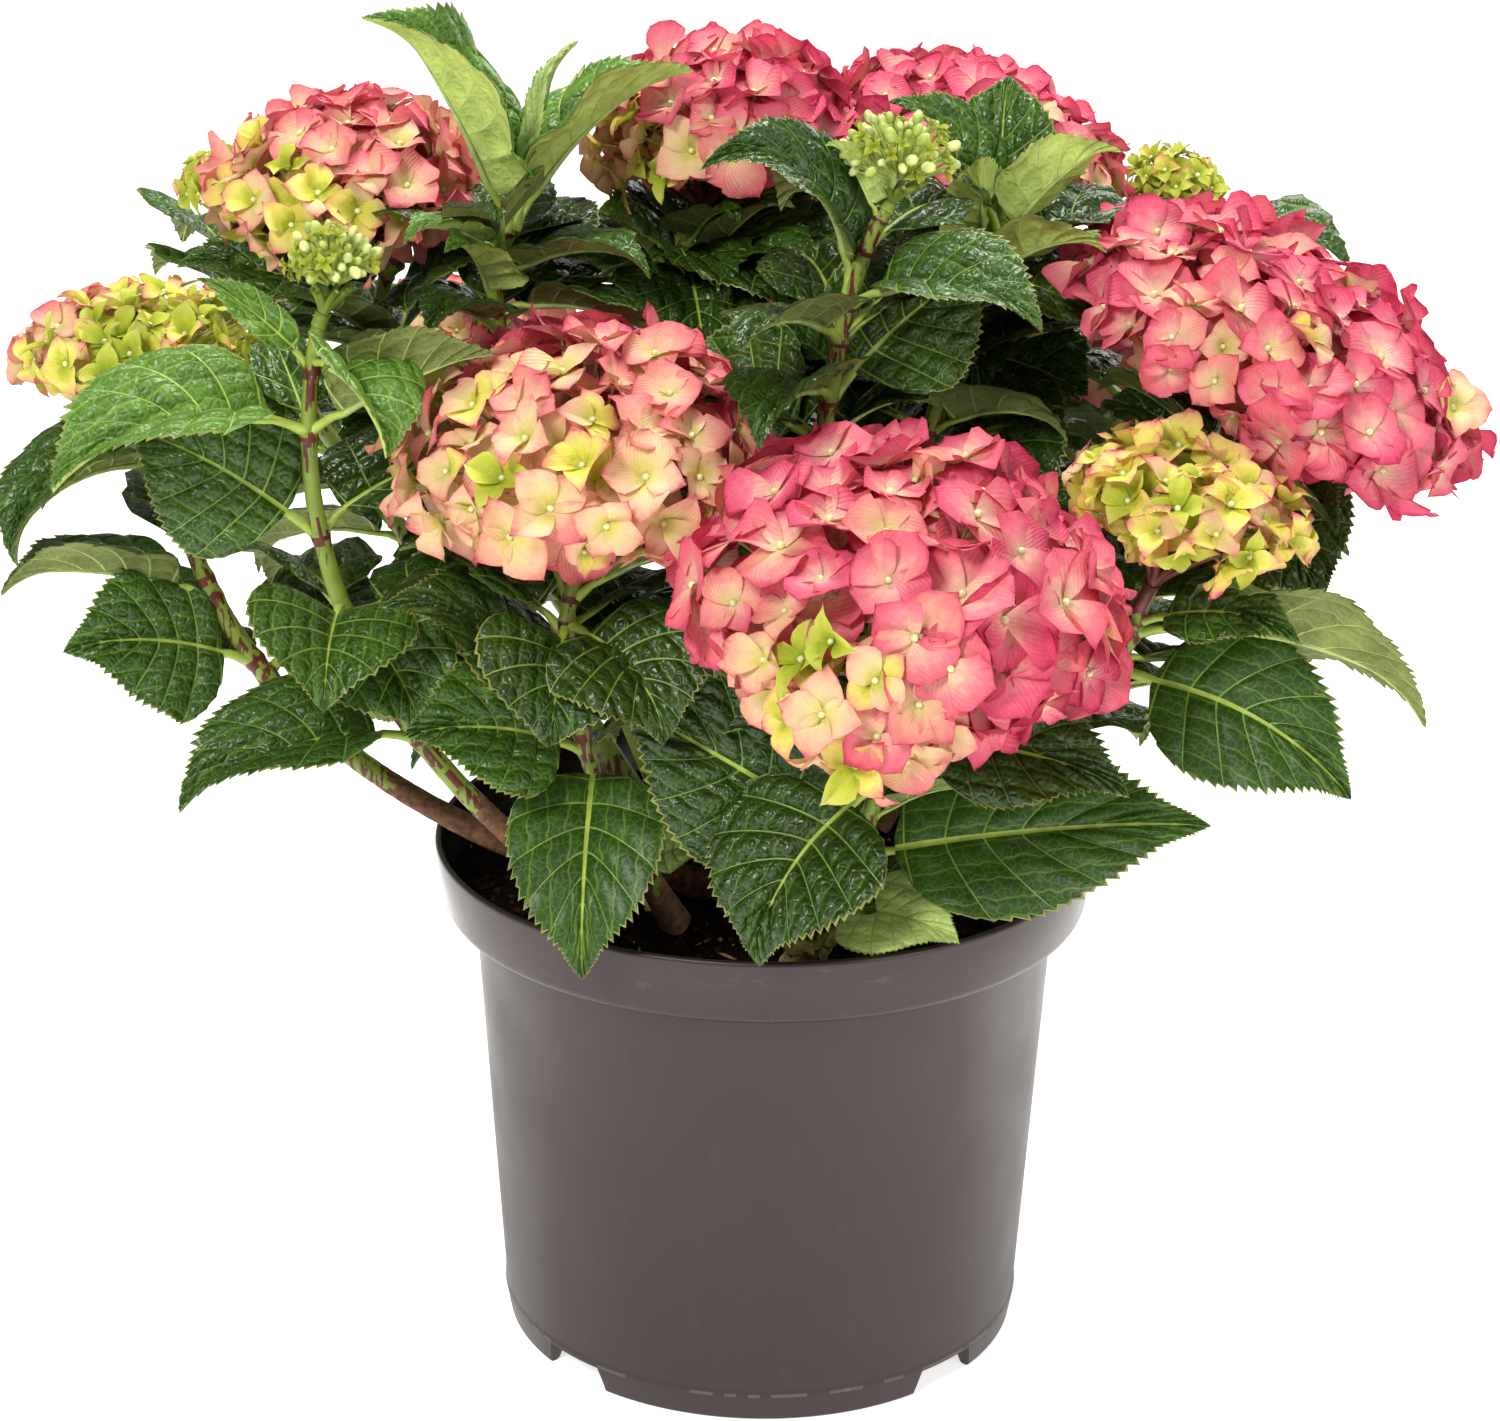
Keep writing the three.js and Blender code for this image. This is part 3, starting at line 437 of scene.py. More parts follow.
def leaf_skin(name, colour, vein, rough, dome_mm=0.8, below=False, specular=0.5):
    """Waxy blade, domed between ladder veins and a net; the veins are sunk above and proud below."""
    material, tree = new_material(name)
    place = add_node(tree, "ShaderNodeTexCoord").outputs["Object"]
    cells = add_node(tree, "ShaderNodeUVMap", uv_map=SKIN_MAP)
    stir = add_node(tree, "ShaderNodeTexNoise", {"Vector": place, "Scale": METRE / STIR_MM, "Detail": 1.0})
    axis = add_node(tree, "ShaderNodeSeparateXYZ", {"Vector": cells})
    cell = add_node(tree, "ShaderNodeMath", {0: axis.outputs["Y"]}, operation="FLOOR")
    offset = add_node(tree, "ShaderNodeMath", {0: cell, 1: RUNG_OFFSET}, operation="MULTIPLY")
    bend = add_node(tree, "ShaderNodeMath", {0: stir, 1: RUNG_STRAY, 2: offset}, operation="MULTIPLY_ADD")
    rung = add_node(tree, "ShaderNodeMath", {0: axis.outputs["X"], 1: MAP_UNIT / RUNG_MM, 2: bend},
                    operation="MULTIPLY_ADD")
    saw = add_node(tree, "ShaderNodeMath", {0: rung, 1: 1.0}, operation="PINGPONG")
    dome = add_node(tree, "ShaderNodeMapRange", {"Value": saw, "From Min": 0.0, "From Max": 0.8},
                    interpolation_type="SMOOTHSTEP")
    net = add_node(tree, "ShaderNodeTexVoronoi", {"Vector": place, "Scale": METRE / NET_MM},
                   feature="DISTANCE_TO_EDGE")
    small_dome = add_node(tree, "ShaderNodeMapRange", {
        "Value": net, "From Min": 0.0, "From Max": NET_EDGE, "To Max": NET_RISE},
        interpolation_type="SMOOTHSTEP")
    height = add_node(tree, "ShaderNodeMath", {0: dome, 1: small_dome}, operation="ADD")
    bump = add_node(tree, "ShaderNodeBump", {"Height": height, "Distance": dome_mm * MM, "Strength": 1.0},
                    invert=below)
    tissue = shaded_noise(tree, place, rgba(colour, 0.8), rgba(colour, 1.2), LEAF_PATCH_MM)
    ladder = add_node(tree, "ShaderNodeMapRange", {
        "Value": saw, "From Min": 0.03, "From Max": 0.16, "To Min": 0.6, "To Max": 0.0})
    mesh_line = add_node(tree, "ShaderNodeMapRange", {
        "Value": net, "From Min": 0.02, "From Max": 0.07, "To Min": 0.3, "To Max": 0.0})
    line = add_node(tree, "ShaderNodeMath", {0: ladder, 1: mesh_line}, operation="MAXIMUM")
    tint = add_node(tree, "ShaderNodeMix", {0: line, 6: tissue, 7: rgba(vein)}, data_type="RGBA")
    thin_sheet(tree, tint.outputs[2], bump, rough, specular, LIT_BELOW if below else LIT_ABOVE)
    return material


def leaf_materials(look):
    """Living leaf: a waxy cuticle over quilted tissue, glossy and dark above, pale and dull below."""
    made = [leaf_skin("leaf_old", look.leaf_dark, linear("#56752a"), 0.3),
            leaf_skin("leaf_grown", look.leaf_mid, linear("#688a32"), 0.32),
            leaf_skin("leaf_fresh", look.leaf_fresh, linear("#86a844"), 0.38),
            leaf_skin("leaf_young", look.leaf_young, linear("#cfdc98"), 0.45, 0.4),
            leaf_skin("smooth_leaf", look.leaf_smooth, linear("#6c8c34"), 0.42, 0.18, specular=0.36)]
    for name, colour, rough in (("vein_on_old_leaf", "#7a9a40", 0.4), ("vein_on_fresh_leaf", "#9ab552", 0.42),
                                ("midrib", "#a3b950", 0.42)):
        made.append(living_tissue(name, linear(colour), rough, *VEIN_TISSUE))
    return made + [
        leaf_skin("leaf_underside", linear("#7a8748"), linear("#9aa467"), 0.6, 0.45, below=True,
                  specular=0.3),
        living_tissue("underside_vein", linear("#abbd72"), 0.55, *VEIN_TISSUE, specular=0.3),
        living_tissue("leaf_margin", linear("#7d8440"), 0.45, *VEIN_TISSUE),
        leaf_skin("young_leaf_underside", linear("#bbd06c"), linear("#d0dc90"), 0.55, 0.4, below=True,
                  specular=0.3)]


LEAF_LOOKS = ("old", "grown", "fresh", "young", "smooth", "vein_old", "vein_fresh", "midrib", "under",
              "under_vein", "margin", "young_under")
LEAF_ZONE = {name: i for i, name in enumerate(LEAF_LOOKS)}


def sepal_skin(name, steps):
    """Thin, matt sepal: its eye passes through mottled tints to a fine dark rim; veins fan out along it."""
    material, tree = new_material(name)
    place = add_node(tree, "ShaderNodeTexCoord").outputs["Object"]
    fan = add_node(tree, "ShaderNodeUVMap", uv_map=SKIN_MAP)
    axis = add_node(tree, "ShaderNodeSeparateXYZ", {"Vector": fan})
    mottle = add_node(tree, "ShaderNodeTexNoise", {"Vector": place, "Scale": METRE / MOTTLE_MM, "Detail": 4.0,
                                                   "Roughness": 0.62})
    shift = add_node(tree, "ShaderNodeMapRange", {
        "Value": mottle, "From Min": 0.3, "From Max": 0.7, "To Min": -MOTTLE_SHIFT,
        "To Max": MOTTLE_SHIFT})
    rim = add_node(tree, "ShaderNodeMath", {0: axis.outputs["X"], 1: shift}, operation="ADD")
    ramp = add_node(tree, "ShaderNodeValToRGB", {"Fac": rim})
    stops = ramp.color_ramp.elements
    for _ in steps[2:]:
        stops.new(0.5)
    for stop, at, step in zip(stops, TINT_PLACES, steps):
        stop.position = at
        stop.color = rgba(linear(step))
    count = add_node(tree, "ShaderNodeMath", {0: axis.outputs["Y"], 1: SEPAL_VEINS, 2: mottle},
                     operation="MULTIPLY_ADD")
    wave = add_node(tree, "ShaderNodeMath", {0: count, 1: 1.0}, operation="PINGPONG")
    vein = add_node(tree, "ShaderNodeMapRange", {
        "Value": wave, "From Min": 0.0, "From Max": 0.5, "To Min": VEIN_TINT, "To Max": 0.0})
    tint = add_node(tree, "ShaderNodeMix", {0: vein, 6: ramp,
                                            7: rgba(linear(steps[-1]))}, data_type="RGBA")
    relief = add_node(tree, "ShaderNodeMath", {0: wave, 1: 0.35, 2: mottle}, operation="MULTIPLY_ADD")
    bump = add_node(tree, "ShaderNodeBump", {
        "Height": relief, "Distance": SEPAL_RELIEF_MM * MM, "Strength": 1.0})
    thin_sheet(tree, tint.outputs[2], bump, 0.55, 0.35, 0.2)
    return material


def sepal_materials():
    """Sepals by ripeness, the bead in a floret's eye, pale stalks and the buds of a young head."""
    made = [sepal_skin(f"sepal_{tint}", steps) for tint, steps in TINTS.items()]
    for name, colour in (("floret_bead", "#dfdfa6"), ("floret_stalk", "#b3ab70"), ("pale_bud", "#d2db8c"),
                         ("green_bud", "#b0c160")):
        made.append(living_tissue(name, linear(colour), 0.45, *BUD_TISSUE))
    return made


BEAD_ZONE, STALK_ZONE, PALE_BUD, GREEN_BUD = (len(TINTS) + k for k in range(4))


def stem_materials():
    """Satin green herbaceous stem, wine-red joints and specks, brown flower stalks, old bark at the foot."""
    return [living_tissue("green_stem_skin", linear("#7d9238"), 0.42, 12, 2.2, 0.08, 0.0, contrast=0.16),
            speckled_stem(),
            living_tissue("wine_red_joint", linear("#5c2620"), 0.42, 5, 1.6, 0.1, 0.0, contrast=0.35),
            living_tissue("brown_flower_stalk", linear("#6e3833"), 0.45, 5, 1.6, 0.08, 0.0, contrast=0.3),
            living_tissue("old_bark_foot", linear("#6b4a33"), 0.8, 3, 1.2, 0.3, 0.0, contrast=0.45)]


STEM_ZONE = {"green": 0, "speckled": 1, "wine": 2, "stalk": 3, "bark": 4}


def speckled_stem():
    """Green stem skin with wine-red lenticel streaks that run along it."""
    material, tree = new_material("speckled_stem_skin")
    place = add_node(tree, "ShaderNodeTexCoord").outputs["Object"]
    long_grain = add_node(tree, "ShaderNodeMapping", {"Vector": place, "Scale": (1.0, 1.0, 0.16)})
    tint = shaded_noise(tree, long_grain, rgba(linear("#5a251f")), rgba(linear("#7d9038")), 1.8, (0.44, 0.5))
    skin = add_node(tree, "ShaderNodeBsdfPrincipled", {"Base Color": tint, "Roughness": 0.42, "IOR": 1.45})
    add_node(tree, "ShaderNodeOutputMaterial", {"Surface": skin})
    return material


SHEEN_TINT = (1.0, 0.94, 0.93, 1.0)


def pot_plastic(name, colour, rough, scuff, scuff_shape):
    """Injection-moulded polypropylene: charcoal brown, satin, with faint cloudy gloss, dust and scuffs."""
    material, tree = new_material(name)
    place = add_node(tree, "ShaderNodeTexCoord").outputs["Object"]
    tint = shaded_noise(tree, place, rgba(colour, 0.93), rgba(colour, 1.07), 45, (0.3, 0.7))
    drawn_out = add_node(tree, "ShaderNodeMapping", {"Vector": place, "Scale": scuff_shape})
    dust_shape = add_node(tree, "ShaderNodeTexNoise", {
        "Vector": drawn_out, "Scale": METRE / 9, "Detail": 7.0, "Roughness": 0.7})
    dust_amount = add_node(tree, "ShaderNodeMapRange", {
        "Value": dust_shape, "From Min": 0.6, "From Max": 0.78, "To Min": 0.0,
        "To Max": scuff})
    dusty = add_node(tree, "ShaderNodeMix", {
        0: dust_amount, 6: tint, 7: rgba(linear("#a09490"))}, data_type="RGBA")
    cloud = add_node(tree, "ShaderNodeTexNoise", {"Vector": place, "Scale": METRE / 30, "Detail": 5.0})
    gloss = add_node(tree, "ShaderNodeMapRange", {
        "Value": cloud, "From Min": 0.3, "From Max": 0.7, "To Min": rough - 0.06,
        "To Max": rough + 0.06})
    grain = add_node(tree, "ShaderNodeTexNoise", {"Vector": place, "Scale": METRE / 0.9, "Detail": 2.0})
    bump = add_node(tree, "ShaderNodeBump", {"Height": grain, "Distance": 0.03 * MM, "Strength": 1.0})
    skin = add_node(tree, "ShaderNodeBsdfPrincipled", {
        "Base Color": dusty.outputs[2], "Roughness": gloss,
        "Normal": bump, "IOR": 1.49, "Specular IOR Level": 0.46,
        "Specular Tint": SHEEN_TINT})
    add_node(tree, "ShaderNodeOutputMaterial", {"Surface": skin})
    return material


def earth(name, colour, relief_mm=0.6, contrast=0.5, rough=0.95):
    """Moist peat and bark crumbs: dark, matt and fibrous."""
    material, tree = new_material(name)
    place = add_node(tree, "ShaderNodeTexCoord").outputs["Object"]
    tint = shaded_noise(tree, place, rgba(colour, 1 - contrast), rgba(colour, 1 + contrast), 2.5, (0.3, 0.7))
    lumps = add_node(tree, "ShaderNodeTexNoise", {"Vector": place, "Scale": METRE / 1.6, "Detail": 6.0})
    bump = add_node(tree, "ShaderNodeBump", {"Height": lumps, "Distance": relief_mm * MM, "Strength": 1.0})
    skin = add_node(tree, "ShaderNodeBsdfPrincipled", {
        "Base Color": tint, "Roughness": rough, "Normal": bump, "IOR": 1.4,
        "Specular IOR Level": 0.12})
    add_node(tree, "ShaderNodeOutputMaterial", {"Surface": skin})
    return material


# ---- meshes ----
class Stock:
    """Corners and faces gathered for one joined piece, in millimetres."""

    def __init__(self):
        self.points, self.fours, self.threes, self.zones4, self.zones3, self.maps = [], [], [], [], [], []
        self.count = 0

    def add(self, points, fours=None, zones4=0, threes=None, zones3=0, skin_map=None):
        """Adds corners, with four- and three-sided faces, the look of each face and places on the skin."""
        points = np.asarray(points, float).reshape(-1, 3)
        self.maps.append(np.zeros((len(points), 2)) if skin_map is None else skin_map)
        for faces, zones, kept, kept_zones, width in ((fours, zones4, self.fours, self.zones4, 4),
                                                     (threes, zones3, self.threes, self.zones3, 3)):
            if faces is not None and len(faces):
                faces = np.asarray(faces, int).reshape(-1, width)
                kept.append(faces + self.count)
                kept_zones.append(np.broadcast_to(np.asarray(zones, int).ravel(), (len(faces),)))
        self.points.append(points)
        self.count += len(points)

    def piece(self, name, materials, slot, nodes):
        """Makes the mesh object, and hides the solids that it stands for."""
        fours = np.concatenate(self.fours) if self.fours else np.zeros((0, 4), int)
        threes = np.concatenate(self.threes) if self.threes else np.zeros((0, 3), int)
        zones = np.concatenate([*self.zones4, *self.zones3])
        points = np.concatenate(self.points) * MM
        mesh = bpy.data.meshes.new(name)
        mesh.vertices.add(len(points))
        mesh.vertices.foreach_set("co", points.astype(np.float32).ravel())
        corners = np.concatenate([fours.ravel(), threes.ravel()]).astype(np.int32)
        mesh.loops.add(len(corners))
        mesh.loops.foreach_set("vertex_index", corners)
        starts = np.concatenate([np.arange(len(fours)) * 4, fours.size + np.arange(len(threes)) * 3])
        mesh.polygons.add(len(starts))
        mesh.polygons.foreach_set("loop_start", starts.astype(np.int32))
        mesh.polygons.foreach_set("material_index", zones.astype(np.int32))
        mesh.polygons.foreach_set("use_smooth", np.ones(len(starts), bool))
        for material in materials:
            mesh.materials.append(material)
        places = np.concatenate(self.maps)
        if places.any():
            layer = mesh.uv_layers.new(name=SKIN_MAP)
            layer.uv.foreach_set("vector", places[corners].astype(np.float32).ravel())
        mesh.update(calc_edges=True)
        mesh.validate()
        return settle(bpy.data.objects.new(name, mesh), nodes)


def settle(piece, nodes):
    """Links a piece, lets it ride on the plant's one body, and hides the solids that it stands for."""
    bpy.context.scene.collection.objects.link(piece)
    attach(piece, "root")
    if nodes:
        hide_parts(*nodes)
    return piece


def strips(rows, columns, closed=False):
    """Faces of a grid of rows by columns; a closed one joins its last column to its first."""
    wide = columns if closed else columns - 1
    r, c = np.meshgrid(np.arange(rows - 1), np.arange(wide), indexing="ij")
    right = (c + 1) % columns
    return np.stack([r * columns + c, r * columns + right, (r + 1) * columns + right, (r + 1) * columns + c],
                    -1).reshape(-1, 4)


def unit(v):
    """Vectors of the same way and of length one."""
    return v / np.maximum(np.linalg.norm(v, axis=-1, keepdims=True), 1e-9)


def two_across(ways):
    """Two directions across each of many ways."""
    aside = np.where(np.abs(ways[:, 2:3]) < 0.9, np.array([[0.0, 0, 1]]), np.array([[1.0, 0, 0]]))
    first = unit(np.cross(aside, ways))
    return first, np.cross(ways, first)


def turned(first, second, angle):
    """Directions at each angle from the first of two across a way towards the second."""
    return first[:, None] * np.cos(angle)[..., None] + second[:, None] * np.sin(angle)[..., None]


def round_angles(sides):
    """Even angles round a circle."""
    return 2 * np.pi * np.arange(sides) / sides


def end_caps(rows, columns):
    """Triangles that close a round grid with the two end points that follow its corners."""
    point, last = rows * columns, (rows - 1) * columns
    return np.array([[point, k, (k + 1) % columns] for k in range(columns)]
                    + [[point + 1, last + (k + 1) % columns, last + k] for k in range(columns)])


TURN_OVER = [0, 2, 1]


def sections(path):
    """Two directions across a path at each of its points, which turn with it and don't twist."""
    path = np.asarray(path, float)
    way = unit(np.gradient(path, axis=0))
    aside = np.array([0.0, 1.0, 0.0]) if abs(way[0][1]) < 0.9 else np.array([1.0, 0.0, 0.0])
    across = [unit(aside - way[0] * np.dot(aside, way[0]))]
    for d in way[1:]:
        across.append(unit(across[-1] - d * np.dot(across[-1], d)))
    across = np.array(across)
    return across, np.cross(way, across)


def add_tube(stock, path, radius, sides, zones=0, relief=None):
    """A tube along path; radius has one value for each ring, relief a share for each corner."""
    path = np.asarray(path, float)
    ring = turned(*sections(path), round_angles(sides))
    size = np.broadcast_to(np.asarray(radius, float)[:, None], ring.shape[:2])
    if relief is not None:
        size = size * relief
    points = path[:, None] + ring * size[..., None]
    faces = strips(len(path), sides, closed=True)
    zones = np.asarray(zones)
    if zones.ndim < 2:
        zones = np.repeat(np.broadcast_to(zones, (len(path) - 1,))[:, None], sides, 1)
    stock.add(np.concatenate([points.reshape(-1, 3), path[[0, -1]]]), faces, zones.ravel(),
              end_caps(len(path), sides), np.concatenate([zones[0], zones[-1]]))


# ---- growth ----
def seeded(seed):
    """The small generator that the growth rule draws from."""
    state = seed

    def draw():
        nonlocal state
        mask = 0xFFFFFFFF
        state = (state + 0x6D2B79F5) & mask
        t = state
        t = ((t ^ (t >> 15)) * (t | 1)) & mask
        t ^= (t + (((t ^ (t >> 7)) * (t | 61)) & mask)) & mask
        return ((t ^ (t >> 14)) & mask) / 4294967296
    return draw


def stem_line(name):
    """Foot, bow and tip of a shoot's stem."""
    base, bow, tip = SHOOTS[name][:3]
    return np.array([[base[0], base[1], SOIL_TOP + ROOT_LIFT], bow, tip], float)


def on_stem(line, t):
    """Points at shares t of a bowed line, from its foot to its tip."""
    t = np.asarray(t, float)[..., None]
    return line[0] * (1 - t) ** 2 + 2 * line[1] * t * (1 - t) + line[2] * t ** 2


def fill_rows(plan):
    """Seeded leaf pairs of a shoot, in the order of the growth rule."""
    t0, t1, pairs, start, end, length, lift, seed = plan
    draw = seeded(seed)
    span = end - start
    rows = []
    for i in range(pairs):
        share = t0 + (t1 - t0) * (i / (pairs - 1) if pairs > 1 else 0.5)
        first = start + span * draw()
        for k in range(2):
            azimuth = first + span * k / 2 + 24 * (draw() - 0.5)
            azimuth = start + (azimuth - start) % span
            up = lift + 30 * (share - 0.9) + 16 * draw()
            size = length * (0.82 + 0.3 * draw()) * (1.16 - 0.2 * share)
            wide = size * (0.6 + 0.1 * draw())
            arch = 40 + 30 * draw()
            roll = 30 * (draw() - 0.5)
            rows.append((share, azimuth, up, size, wide, arch, roll, 14 + 14 * draw(), None))
    return rows


class Leaf:
    """One leaf on its stem: its arching midrib, roll, fold and size."""

    row = None
    placed = False

    def __init__(self, line, row, attempt, number):
        share, azimuth, elevation, length, width, arch, roll, fold, tone = row
        turn, lift, size, more_roll = TRIES[attempt]
        self.share = share
        self.azimuth = (azimuth + turn) * RAD
        self.arch = max(arch, LEAST_ARCH) * RAD
        self.start = (elevation + lift) * RAD + self.arch / 2
        self.length = length * size
        self.half = width * size / 2
        self.roll = (roll + more_roll) * RAD
        self.fold = fold * RAD
        self.petiole = min(PETIOLE_SHARE * self.length, PETIOLE_MAX) / self.length
        self.tone = tone
        stem_r = STEM_R0 + (STEM_R1 - STEM_R0) * share
        flat = np.array([math.cos(self.azimuth), math.sin(self.azimuth), 0.0])
        self.root = on_stem(line, share) + LEAF_ROOT_SHARE * stem_r * flat
        self.number = number
        self.rng = np.random.RandomState(number)

    def at(self, s):
        """Midrib point, side direction and upper normal at shares s of the length."""
        s = np.asarray(s, float)
        e = self.start - self.arch * s
        out = self.length * (math.sin(self.start) - np.sin(e)) / self.arch
        up = self.length * (np.cos(e) - math.cos(self.start)) / self.arch
        ca, sa = math.cos(self.azimuth), math.sin(self.azimuth)
        point = self.root + np.stack([out * ca, out * sa, up], -1)
        along = np.stack([np.cos(e) * ca, np.cos(e) * sa, np.sin(e)], -1)
        normal = np.stack([-np.sin(e) * ca, -np.sin(e) * sa, np.cos(e)], -1)
        side = np.cross(along, normal)
        turn = (self.roll * np.minimum(1, s / self.petiole))[..., None]
        top = normal * np.cos(turn) + side * np.sin(turn)
        return point, side * np.cos(turn) - normal * np.sin(turn), top

    def stray(self, q):
        """How far the midrib sways aside and curls down at shares q of the blade."""
        sway = self.sway * np.sin(np.pi * np.clip(q, 0, 1)) * self.length
        return sway, -self.tip_curl * self.length * np.clip(q - CURL_FROM, 0, 1) ** 2


def solid_corners(node):
    """Corners of one of the frame's solids, in millimetres."""
    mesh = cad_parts[node].data
    corners = np.zeros(len(mesh.vertices) * 3, np.float32)
    mesh.vertices.foreach_get("co", corners)
    return corners.reshape(-1, 3).astype(float) / MM


def grown_leaves():
    """Every leaf that the solids carry, placed and seeded, by shoot."""
    found = {}
    number = 0
    closing = CLOSING_SEED
    for name in SHOOTS:
        line = stem_line(name)
        corners = solid_corners(f"leaves_{name}")
        kept = []
        for placed, rows in ((True, LEAVES.get(name, ())), (False, fill_rows(SHOOTS[name][4]))):
            for index, row in enumerate(rows):
                number += 1
                for attempt in range(len(TRIES)):
                    leaf = Leaf(line, row, attempt, number)
                    tip = leaf.at(1.0)[0]
                    if np.abs(corners - tip).max(1).min() < TIP_MATCH:
                        leaf.placed = placed
                        leaf.row = (name, index) if placed else None
                        kept.append(leaf)
                        break
        if name in INNER_FILL:
            start, end, seed = INNER_FILL[name]
            plan = (INNER_FROM, INNER_TO, INNER_PAIRS, start, end, INNER_LENGTH, INNER_LIFT, seed)
            for row in fill_rows(plan):
                number += 1
                kept.append(Leaf(line, row, 0, number))
                kept[-1].tone = 0
        for row in CLOSING_LEAVES.get(name, ()):
            closing += 1
            kept.append(Leaf(line, row, 0, closing))
            kept[-1].placed = True
        found[name] = kept
    return found


# ---- leaf blades ----
def outline(q):
    """Half width of the blade at share q of its length: blunt base, long drawn-out tip."""
    q = np.clip(0.004 + 0.996 * q, 0.0005, 0.9995)
    full = (q / WIDEST_AT) ** BASE_POWER * ((1 - q) / (1 - WIDEST_AT)) ** TIP_POWER
    return full * (1 - TIP_NARROW * np.exp(-((q - 0.87) / 0.1) ** 2))


class BladeGrid:
    """Rows of a blade leave the midrib as its side veins do, and columns run along it."""

    def __init__(self, veins, teeth, across, under):
        steps = 2 * teeth
        starts = FIRST_VEIN + (LAST_VEIN - FIRST_VEIN) * (np.arange(veins) / (veins - 1)) ** 0.95
        rows = [(0.0, 0, 0.0, 0.4, False)]
        for k, start in enumerate(starts):
            end = starts[k + 1] if k + 1 < veins else BLADE_END
            rows.append((start, -1, 0.0, 1.0, True))
            rows.append((start, 1, 0.0, 1.0, False))
            rows += [(start + (end - start) * j / steps, 0, j / steps, 1.0 - j % 2, False)
                     for j in range(1, steps)]
        rows.append((BLADE_END, 0, 1.0, 0.5, False))
        self.start, self.vein_side, self.part, self.tooth, self.vein = (np.array(x) for x in zip(*rows))
        self.cell = np.searchsorted(starts, self.start + 1e-6)
        across = np.array(across)
        self.columns = self.mirrored(across)
        kept = across[list(under)]
        self.under_columns = self.mirrored(kept)
        self.kept = np.array([int(np.argmin(abs(self.columns[0] - f) + 9 * (self.columns[1] != g)))
                              for f, g in zip(*self.under_columns)])

    @staticmethod
    def mirrored(across):
        """Share from midrib to margin of each column, and its side; the middle three are the midrib."""
        share = np.concatenate([across[::-1], [0, 0, 0], across])
        side = np.concatenate([-np.ones(len(across)), [-1, 0, 1], np.ones(len(across))])
        return share, side


RICH = BladeGrid(8, 4, [0.1, 0.2, 0.3, 0.4, 0.5, 0.6, 0.7, 0.8, 0.9, 0.98, 1.0], (1, 3, 5, 7, 10))
MIDDLE = BladeGrid(7, 3, [0.11, 0.22, 0.33, 0.44, 0.55, 0.66, 0.77, 0.88, 0.975, 1.0], (1, 3, 5, 7, 9))
PLAIN = BladeGrid(6, 2, [0.22, 0.46, 0.7, 0.94, 1.0], (1, 2, 4))


def blade_sheets(leaf, grid, look):
    """Corners of a blade's upper and lower sheet."""
    share, side = grid.columns
    begin = leaf.petiole * leaf.bare
    blade = leaf.length * (1 - begin)
    scale = min(blade / GRAIN_LENGTH, 1.2)
    u = grid.start[:, None]
    f = share[None, :]
    forward = VEIN_FORWARD * np.sin(np.pi * u)
    width = outline(u + forward) * leaf.half * leaf.fullness
    rib = np.minimum(RIB_HALF * (1 - 0.75 * u) * scale, width * 0.6)
    vein = grid.vein_side[:, None] * VEIN_HALF * (1 - 0.55 * f) / blade
    q = u + vein + forward * f ** VEIN_CURVE
    y = side * (rib + (width - rib) * f)
    # teeth point forward and outward, and fade where the blade is narrow
    edge = np.clip((f - 0.93) / 0.07, 0, 1)
    bite = look.tooth / MM * scale * np.clip(width / (0.4 * leaf.half), 0.15, 1) * leaf.teeth[:len(u), None]
    y = y + side * edge * bite * (grid.tooth[:, None] - 0.5) * 0.8
    q = q + edge * bite * (grid.tooth[:, None] - 0.3) / blade * 1.5
    # quilting between the side veins, crossed by finer veins
    swell = np.sin(np.pi * grid.part[:, None]) ** 0.6
    count = len(share)
    fine = leaf.dapple[grid.cell][:, np.abs(np.arange(count) - count // 2) // 2]
    fade = np.clip(f / 0.12, 0, 1) * (1 - 0.6 * f ** 4)
    relief = leaf.quilt * look.bulge / MM * scale * swell * fine * fade
    relief = relief - np.where((f == 0) & (np.abs(side) < 1), 0.35 * scale, 0.0)
    v = np.abs(y) / leaf.half
    lift = math.sin(leaf.fold) * leaf.half * (1.5 * v - 0.5 * v ** 2) - leaf.droop * leaf.half * v ** 3
    wave = leaf.wave * v ** 1.6 * np.sin(2 * np.pi * (leaf.ripples * q + np.where(side < 0, leaf.phase, 0)))
    point, across, top = leaf.at(begin + (1 - begin) * np.minimum(q, 1.0))
    sway, curl = leaf.stray(q)
    flat = (point + across * (y * math.cos(leaf.fold * 0.8) + sway)[..., None]
            + top * (lift + wave + curl)[..., None])
    # the lower sheet follows the lowest of its neighbours, so that it never comes through
    padded = np.pad(relief, ((0, 0), (1, 1)), mode="edge")
    low = np.minimum(np.minimum(padded[:, :-2], padded[:, 1:-1]), padded[:, 2:])
    low = np.minimum(low, 0.75 * relief) - SHEET_GAP * (1 - f) - 0.04
    low = low - np.where(grid.vein_side[:, None] != 0, 0.4 * (1 - 0.6 * f), 0.0) * np.clip(f / 0.05, 0, 1)
    kept = grid.kept
    cells = np.stack([np.abs(y) / MAP_UNIT, grid.cell[:, None] + grid.part[:, None] + 0 * y], -1)
    return ((flat + top * relief[..., None], cells + (0, leaf.number % 40 * 20)),
            ((flat + top * low[..., None])[:, kept], cells[:, kept]))


